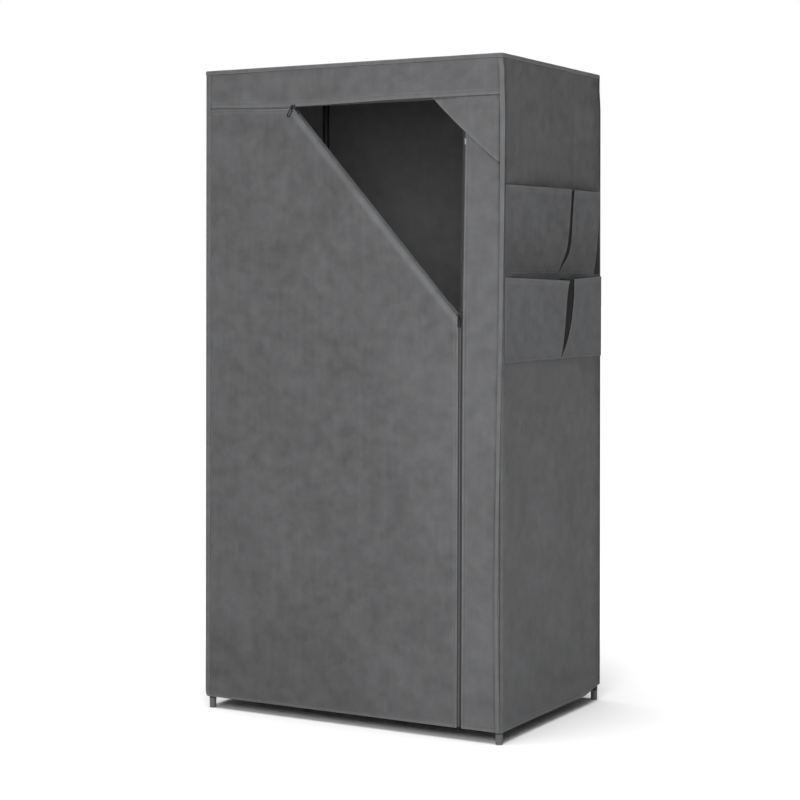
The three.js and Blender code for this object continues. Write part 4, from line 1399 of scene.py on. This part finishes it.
def make_door():
    top_line = DOOR_TOP - DOOR_HEM
    side_line = DOOR_RIGHT - DOOR_HEM
    up = lines_between(BOTTOM, DOOR_TOP, step=DOOR_STEP, marks=[HEM_LINE, top_line])
    across = lines_between(HINGE_END, DOOR_RIGHT, step=DOOR_STEP, marks=[side_line], rolled=(False, True))
    bm = cloth_grid(across, up, flat_door)
    for share in FOLD_CUT_SHARES:
        cut_along(bm, FOLD_POINT + FOLD_OUT * FOLD_BAND * share, FOLD_OUT)
    hang_door(bm)
    fold_corner(bm)
    stitches = sew_lines(
        door_surface,
        ((HINGE_END, HEM_LINE), (DOOR_RIGHT - STITCH_INSET, HEM_LINE)),
        ((HINGE_END, top_line), (DOOR_RIGHT - STITCH_INSET, top_line)),
        up_seam(side_line, BOTTOM, DOOR_TOP),
    )
    fold_solids(stitches)
    cloth_panel(
        "door",
        bm,
        stitches,
        nodes=["door_panel", "door_corner_flap"],
        blend=blend_over_fold,
        flat=(DOOR_RIGHT - HINGE_END, DOOR_TOP - BOTTOM),
        held="folded",
        rests_on=["door_hinge_cloth", "header_cloth"],
    )
    across = lines_between(SEAM_LEFT, HINGE_END, step=HINGE_STEP, rolled=(True, False))
    bm = cloth_grid(across, up, flat_door)
    hang_door(bm)
    lines = [((SEAM_LEFT + STITCH_INSET, line), (HINGE_END, line)) for line in (HEM_LINE, top_line)]
    cloth_panel(
        "door_hinge",
        bm,
        sew_lines(door_surface, *lines),
        blend=blend_at_hinge,
        flat=(HINGE_END - SEAM_LEFT, DOOR_TOP - BOTTOM),
        held="hung",
        rests_on=["left_side_cloth", "header_cloth"],
    )


# Zips
TOOTH_PITCH = 1.7 * MM
TOOTH_SINK = 0.6 * MM
TOOTH_SIZE = (1.7 * MM, 0.75 * MM, 0.62 * MM)
COIL_Y = FRONT + 0.3 * MM
TAPE_Y = FRONT + 1.15 * MM
TAPE_THICKNESS = 0.5 * MM
TAPE_HIDDEN = 9 * MM
TAPE_END = 2 * MM
TAPE_STEP = 20 * MM
DOOR_TAPE_STEP = 12 * MM
HINGE_TAPE_STEP = 3 * MM
COIL_END = 3 * MM
COIL_GAP = 4 * MM
COIL_EDGE = 0.4 * MM
UPWARDS, DOWNWARDS = Vector((0, 0, 1)), Vector((0, 0, -1))
RIGHTWARDS, LEFTWARDS = Vector((1, 0, 0)), Vector((-1, 0, 0))


def coil_place(x, z):
    return Vector((x, COIL_Y, z))


def half_coil(*runs, offset=0.0):
    """Teeth of half a coil; a run has its start, its end and the way its teeth reach to the other half"""
    bm = bmesh.new()
    size = Matrix.Diagonal((*TOOTH_SIZE, 1))
    inwards = Vector((0, 1, 0))
    for start, end, towards in runs:
        along = end - start
        length = along.length
        along.normalize()
        turn = Matrix((towards, inwards, towards.cross(inwards))).transposed().to_4x4()
        for index in range(int(length / TOOTH_PITCH)):
            centre = start + along * (index + offset) * TOOTH_PITCH - towards * TOOTH_SINK
            matrix = Matrix.Translation(hung(centre)) @ turn @ size
            bmesh.ops.create_icosphere(bm, subdivisions=1, radius=1, matrix=matrix)
    return bm


def tape_place(x, z):
    return hung(Vector((x, TAPE_Y, z)))


def zip_part(name, bm, material=zip_tape, body="wardrobe"):
    return new_piece(name, bm, material, body)


def join_half(tape, coil, nodes=(), blend=None):
    """A tape and its coil, one half of a zip: hides the frame's parts, blends both when a blend is given and
    gives the tape its thickness
    """
    if nodes:
        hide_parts(*nodes)
    if blend:
        blend(tape)
        blend(coil)
    thicken(tape, TAPE_THICKNESS)


def make_fixed_zips():
    """The half zips on the header and on the strip"""
    tape_top = high("strip_zip_tape").z
    across = plain_lines(SEAM_LEFT + TAPE_END, DOOR_RIGHT - 8 * MM, TAPE_STEP)
    up = [TOP_ZIP_Z + COIL_EDGE, TOP_ZIP_Z + 2 * MM, HEADER_LOW + TAPE_HIDDEN / 2, HEADER_LOW + TAPE_HIDDEN]
    header = zip_part("header_tape", cloth_grid(across, up, tape_place))
    across = [SIDE_ZIP_X + COIL_EDGE, SIDE_ZIP_X + 3 * MM, STRIP_LEFT + 2 * MM, STRIP_LEFT + TAPE_HIDDEN]
    up = plain_lines(ZIP_LOW, tape_top, TAPE_STEP)
    strip = zip_part("strip_tape", cloth_grid(across, up, tape_place))
    start, end = coil_place(SEAM_LEFT + COIL_END, TOP_ZIP_Z), coil_place(DOOR_RIGHT - 9 * MM, TOP_ZIP_Z)
    header_coil = zip_part("header_coil", half_coil((start, end, DOWNWARDS)), dark_coil)
    start, end = coil_place(SIDE_ZIP_X, ZIP_LOW), coil_place(SIDE_ZIP_X, tape_top - 14 * MM)
    strip_coil = zip_part("strip_coil", half_coil((start, end, LEFTWARDS)), dark_coil)
    join_half(header, header_coil, ["header_zip_tape"])
    join_half(strip, strip_coil, ["strip_zip_tape"])
    make_zip_stop()


STOP_SIZE = (3.4 * MM, 2.4 * MM, 13 * MM)
STOP_EDGE = 0.7 * MM
STOP_RIGHT = 6.2 * MM
STOP_OUT = 1.2 * MM
STOP_DOWN = 7.5 * MM


def make_zip_stop():
    """The plastic stop that closes the end of the strip's half zip, clamped on the strip's edge"""
    corners = [vert.co for vert in frame["nodes"]["strip_zip_tape"].data.vertices]
    tape_front = low("strip_zip_tape").y + 0.2 * MM
    top = max(corner.z for corner in corners if corner.y < tape_front)
    centre = hung(Vector((SIDE_ZIP_X + STOP_RIGHT, FRONT - STOP_OUT, top - STOP_DOWN)))
    bm = bmesh.new()
    bmesh.ops.create_cube(bm, size=1, matrix=Matrix.Translation(centre) @ Matrix.Diagonal((*STOP_SIZE, 1)))
    rounding = {"offset": STOP_EDGE, "segments": 3, "profile": 0.5, "affect": "EDGES", "material": -1}
    bmesh.ops.bevel(bm, geom=bm.edges[:], **rounding)
    new_piece("zip_stop", bm, zip_stop)


def make_door_zip():
    """The half zip along the door's top and right edges, which turns in with the corner"""
    top = TOP_ZIP_Z - COIL_EDGE
    inner_x, inner_z = DOOR_RIGHT - TAPE_HIDDEN, DOOR_TOP - TAPE_HIDDEN
    across = plain_lines(HINGE_END, inner_x, DOOR_TAPE_STEP)
    across += [DOOR_RIGHT, SIDE_ZIP_X - 3 * MM, SIDE_ZIP_X - COIL_EDGE]
    up = plain_lines(ZIP_LOW, inner_z, DOOR_TAPE_STEP) + [DOOR_TOP, top]
    tape = cloth_grid(across, up, tape_place)
    weave = tape.loops.layers.uv.active
    inner = []
    for face in tape.faces:
        places = [loop[weave].uv for loop in face.loops]
        clear_x = max(place.x for place in places) < inner_x + 1 * MM
        clear_z = max(place.y for place in places) < inner_z + 1 * MM
        if clear_x and clear_z:
            inner.append(face)
    bmesh.ops.delete(tape, geom=inner, context="FACES")
    fold_corner(tape)
    corner = coil_place(SIDE_ZIP_X, TOP_ZIP_Z)
    hinge = coil_place(HINGE_END, TOP_ZIP_Z)
    top_run = (hinge, corner - RIGHTWARDS * COIL_GAP, UPWARDS)
    side_run = (coil_place(SIDE_ZIP_X, ZIP_LOW), corner - UPWARDS * COIL_GAP, RIGHTWARDS)
    teeth = half_coil(top_run, side_run, offset=0.5)
    fold_solids(teeth)
    tape = zip_part("door_tape", tape, body=None)
    coil = zip_part("door_coil", teeth, zip_coil, None)
    nodes = ["door_top_zip_tape", "door_side_zip_tape", "flap_zip_tape"]
    join_half(tape, coil, nodes, blend_over_fold)
    across = plain_lines(SEAM_LEFT + TAPE_END, HINGE_END, HINGE_TAPE_STEP)
    tape = zip_part("door_hinge_tape", cloth_grid(across, [inner_z, DOOR_TOP, top], tape_place), body=None)
    teeth = half_coil((coil_place(SEAM_LEFT + COIL_END, TOP_ZIP_Z), hinge, UPWARDS), offset=0.5)
    coil = zip_part("door_hinge_coil", teeth, zip_coil, None)
    join_half(tape, coil, blend=blend_at_hinge)


# The rigid pieces
SHARP_DEGREES = 35
HUB_EDGE = 0.6 * MM
SLIDER_EDGE = 0.45 * MM
PULL_EDGE = 0.4 * MM
TUBE_SIDES = 40
TUBE_WALL = 0.8 * MM
TUBE_BORE = 12 * MM
TUBE_SHARP_DEGREES = 40
FOOT_SIDES = 40
FOOT_SHOULDER = 23 * MM
FOOT_COLLAR = 4 * MM
FOOT_LIP = 0.3 * MM
FOOT_EDGE = 0.4 * MM
FOOT_TOP = 7.7 * MM
FOOT_SHARP_DEGREES = 50
PEG_RADIUS = 4.5 * MM
PEG_EDGE = 0.5 * MM

# The foot's sole and the section of one rib: radii and heights in millimetres
FOOT_SOLE = [(0, 0.4), (5.9, 0.4), (6.3, 0), (7.2, 0), (7.6, 0.6)]
FOOT_RIB = [(7.62, -0.7), (7.4, -0.35), (7.4, 0.35), (7.65, 0.7)]
FOOT_RIB_HEIGHTS = [3.2 + 2.6 * index for index in range(5)]


def make_moulded(node, material, body, edge):
    """A moulded or cast piece with the frame's shape and rounded edges"""
    bm = bmesh.new()
    bm.from_mesh(frame["nodes"][node].data)
    bmesh.ops.remove_doubles(bm, verts=bm.verts, dist=0.005 * MM)
    piece = new_piece(f"{node}_body", bm, material, body)
    rounding = piece.modifiers.new("rounded_edges", "BEVEL")
    rounding.width = edge
    rounding.segments = 3
    rounding.limit_method = "ANGLE"
    rounding.angle_limit = math.radians(SHARP_DEGREES)
    rounding.harden_normals = True
    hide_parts(node)


def mark_sharp(piece, degrees):
    """Keeps the edges of a smooth piece crisp where its faces meet at more than that angle"""
    bm = bmesh.new()
    bm.from_mesh(piece.data)
    for edge in bm.edges:
        if len(edge.link_faces) == 2 and edge.calc_face_angle() > math.radians(degrees):
            edge.smooth = False
    bm.to_mesh(piece.data)
    bm.free()


def make_tube(node):
    """A steel tube with its ends cut square and deburred"""
    tube_low, tube_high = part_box(node)
    size = tube_high - tube_low
    axis = max(range(3), key=lambda index: size[index])
    radius = min(size) / 2
    bm = bmesh.new()
    cylinder = {"segments": TUBE_SIDES, "radius1": radius, "radius2": radius, "depth": size[axis]}
    bmesh.ops.create_cone(bm, cap_ends=True, **cylinder)
    for face in [face for face in bm.faces if len(face.verts) > 4]:
        bmesh.ops.inset_region(bm, faces=[face], thickness=TUBE_WALL)
        bmesh.ops.translate(bm, verts=face.verts, vec=face.normal * -TUBE_BORE)
    turn = Matrix() if axis == 2 else Matrix.Rotation(math.pi / 2, 4, "YX"[axis])
    matrix = Matrix.Translation((tube_low + tube_high) / 2) @ turn
    bmesh.ops.transform(bm, matrix=matrix, verts=bm.verts)
    piece = new_piece(f"{node}_tube", bm, tube_paint)
    mark_sharp(piece, TUBE_SHARP_DEGREES)
    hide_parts(node)


def make_foot(node):
    """A moulded foot that tapers to the floor, with shallow ribs and a collar under the hub"""
    foot_low, foot_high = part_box(node)
    centre = (foot_low + foot_high) / 2
    outer = (foot_high.x - foot_low.x) / 2
    profile = FOOT_SOLE + [(radius, middle + up) for middle in FOOT_RIB_HEIGHTS for radius, up in FOOT_RIB]
    points = [(radius * MM, height * MM) for radius, height in profile]
    points += [
        (FOOT_TOP, FOOT_SHOULDER - FOOT_COLLAR - FOOT_LIP),
        (outer - FOOT_LIP, FOOT_SHOULDER - FOOT_COLLAR),
        (outer, FOOT_SHOULDER - FOOT_COLLAR + FOOT_EDGE),
        (outer, FOOT_SHOULDER - FOOT_EDGE),
        (outer - FOOT_EDGE, FOOT_SHOULDER),
        (PEG_RADIUS, FOOT_SHOULDER),
        (PEG_RADIUS, foot_high.z - PEG_EDGE),
        (PEG_RADIUS - PEG_EDGE, foot_high.z),
        (0, foot_high.z),
    ]
    bm = bmesh.new()
    verts = [bm.verts.new((centre.x + radius, centre.y, height)) for radius, height in points]
    edges = [bm.edges.new(pair) for pair in zip(verts, verts[1:])]
    turn = {"cent": centre, "axis": (0, 0, 1), "angle": 2 * math.pi, "steps": FOOT_SIDES}
    bmesh.ops.spin(bm, geom=verts + edges, use_merge=True, **turn)
    bmesh.ops.remove_doubles(bm, verts=bm.verts, dist=0.01 * MM)
    bmesh.ops.recalc_face_normals(bm, faces=bm.faces)
    piece = new_piece(f"{node}_moulding", bm, foot_plastic)
    mark_sharp(piece, FOOT_SHARP_DEGREES)
    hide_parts(node)


def make_frame_pieces():
    for node in frame["nodes"]:
        if any(word in node for word in ("hub", "bracket", "joiner")):
            make_moulded(node, hub_plastic, "wardrobe", HUB_EDGE)
        elif "post_" in node or "rail" in node:
            make_tube(node)
        elif node.startswith("foot"):
            make_foot(node)


def make_zip_hardware():
    for name in ("top", "side"):
        make_moulded(f"{name}_zip_slider", slider_paint, f"{name}_slider", SLIDER_EDGE)
        make_moulded(f"{name}_zip_pull", pull_paint, f"{name}_pull", PULL_EDGE)


# The stage: walls that look white but give little light, two softboxes and the fitted camera
WHITE = (1, 1, 1, 1)
FLOOR_COLOUR = (0.9, 0.9, 0.9, 1)
FLOOR_ROUGHNESS = 0.9
FLOOR_REACH = 60
WALLS_GIVE = 0.15
WALLS_LOOK = 1.0
SUN_STRENGTH = 3.5
SUN_WIDTH = 50
SUN_DIRECTION = Vector((0.05, 0.1, -1))
PANEL_POWER = 54
PANEL_SIZE = 1.4
PANEL_PLACE = Vector((1.25, -2.85, 1.8))
PANEL_TARGET = Vector((0.1, -0.2, 0.75))
CAMERA_PLACE = (2.1251, -3.8520, 0.9805)
CAMERA_TILT = 2.1142
CAMERA_TURN = 29.2015


def make_floor():
    material = bpy.data.materials.new("pale_floor")
    material.use_nodes = True
    surface = material.node_tree.nodes["Principled BSDF"]
    surface.inputs["Base Color"].default_value = FLOOR_COLOUR
    surface.inputs["Roughness"].default_value = FLOOR_ROUGHNESS
    bm = bmesh.new()
    bmesh.ops.create_grid(bm, x_segments=1, y_segments=1, size=FLOOR_REACH)
    mesh = bpy.data.meshes.new("floor")
    bm.to_mesh(mesh)
    bm.free()
    mesh.materials.append(material)
    add_object("floor", mesh)


def add_light(name, kind, power, direction):
    """A light that shines along a direction"""
    data = bpy.data.lights.new(name, kind)
    data.energy = power
    light = add_object(name, data)
    light.rotation_mode = "QUATERNION"
    light.rotation_quaternion = direction.to_track_quat("-Z", "Y")
    return light


def make_light():
    world = bpy.data.worlds.new("studio")
    bpy.context.scene.world = world
    world.use_nodes = True
    tree = world.node_tree
    tree.nodes.clear()
    lit = add_node(tree, "Background", {"Color": WHITE, "Strength": WALLS_GIVE})
    seen = add_node(tree, "Background", {"Color": WHITE, "Strength": WALLS_LOOK})
    ray = add_node(tree, "LightPath").outputs["Is Camera Ray"]
    mixed = add_node(tree, "MixShader", {0: ray, 1: lit.outputs[0], 2: seen.outputs[0]})
    output = add_node(tree, "OutputWorld")
    tree.links.new(mixed.outputs[0], output.inputs["Surface"])
    sun = add_light("top_softbox", "SUN", SUN_STRENGTH, SUN_DIRECTION)
    sun.data.angle = math.radians(SUN_WIDTH)
    panel = add_light("front_softbox", "AREA", PANEL_POWER, PANEL_TARGET - PANEL_PLACE)
    panel.data.size = PANEL_SIZE
    panel.location = PANEL_PLACE
    panel.visible_camera = False
    bpy.context.scene.view_settings.view_transform = "Standard"


def make_camera():
    data = bpy.data.cameras.new("photo_camera")
    data.sensor_width = 36
    data.lens = 86.354
    data.shift_y = -0.0625
    camera = add_object("photo_camera", data)
    camera.location = CAMERA_PLACE
    camera.rotation_euler = (math.radians(90 - CAMERA_TILT), 0, math.radians(CAMERA_TURN))
    bpy.context.scene.camera = camera


make_camera()
make_light()
make_floor()
make_header()
make_side("left", LEFT_LINE, left_surface, bottom_highlight)
make_side(
    "right", RIGHT_LINE, right_surface, right_painted_light, SIDE_SEAM_LINES, [up_seam(SIDE_SEAM, BOTTOM, PANEL_TOP)]
)
make_back()
make_strip()
make_gusset()
make_corner_band()
make_top()
make_base()
for index, pocket in enumerate(POCKET_EDGES):
    make_pocket(pocket, 81.0 + 4 * index)
make_door()
make_fixed_zips()
make_door_zip()
make_frame_pieces()
make_zip_hardware()
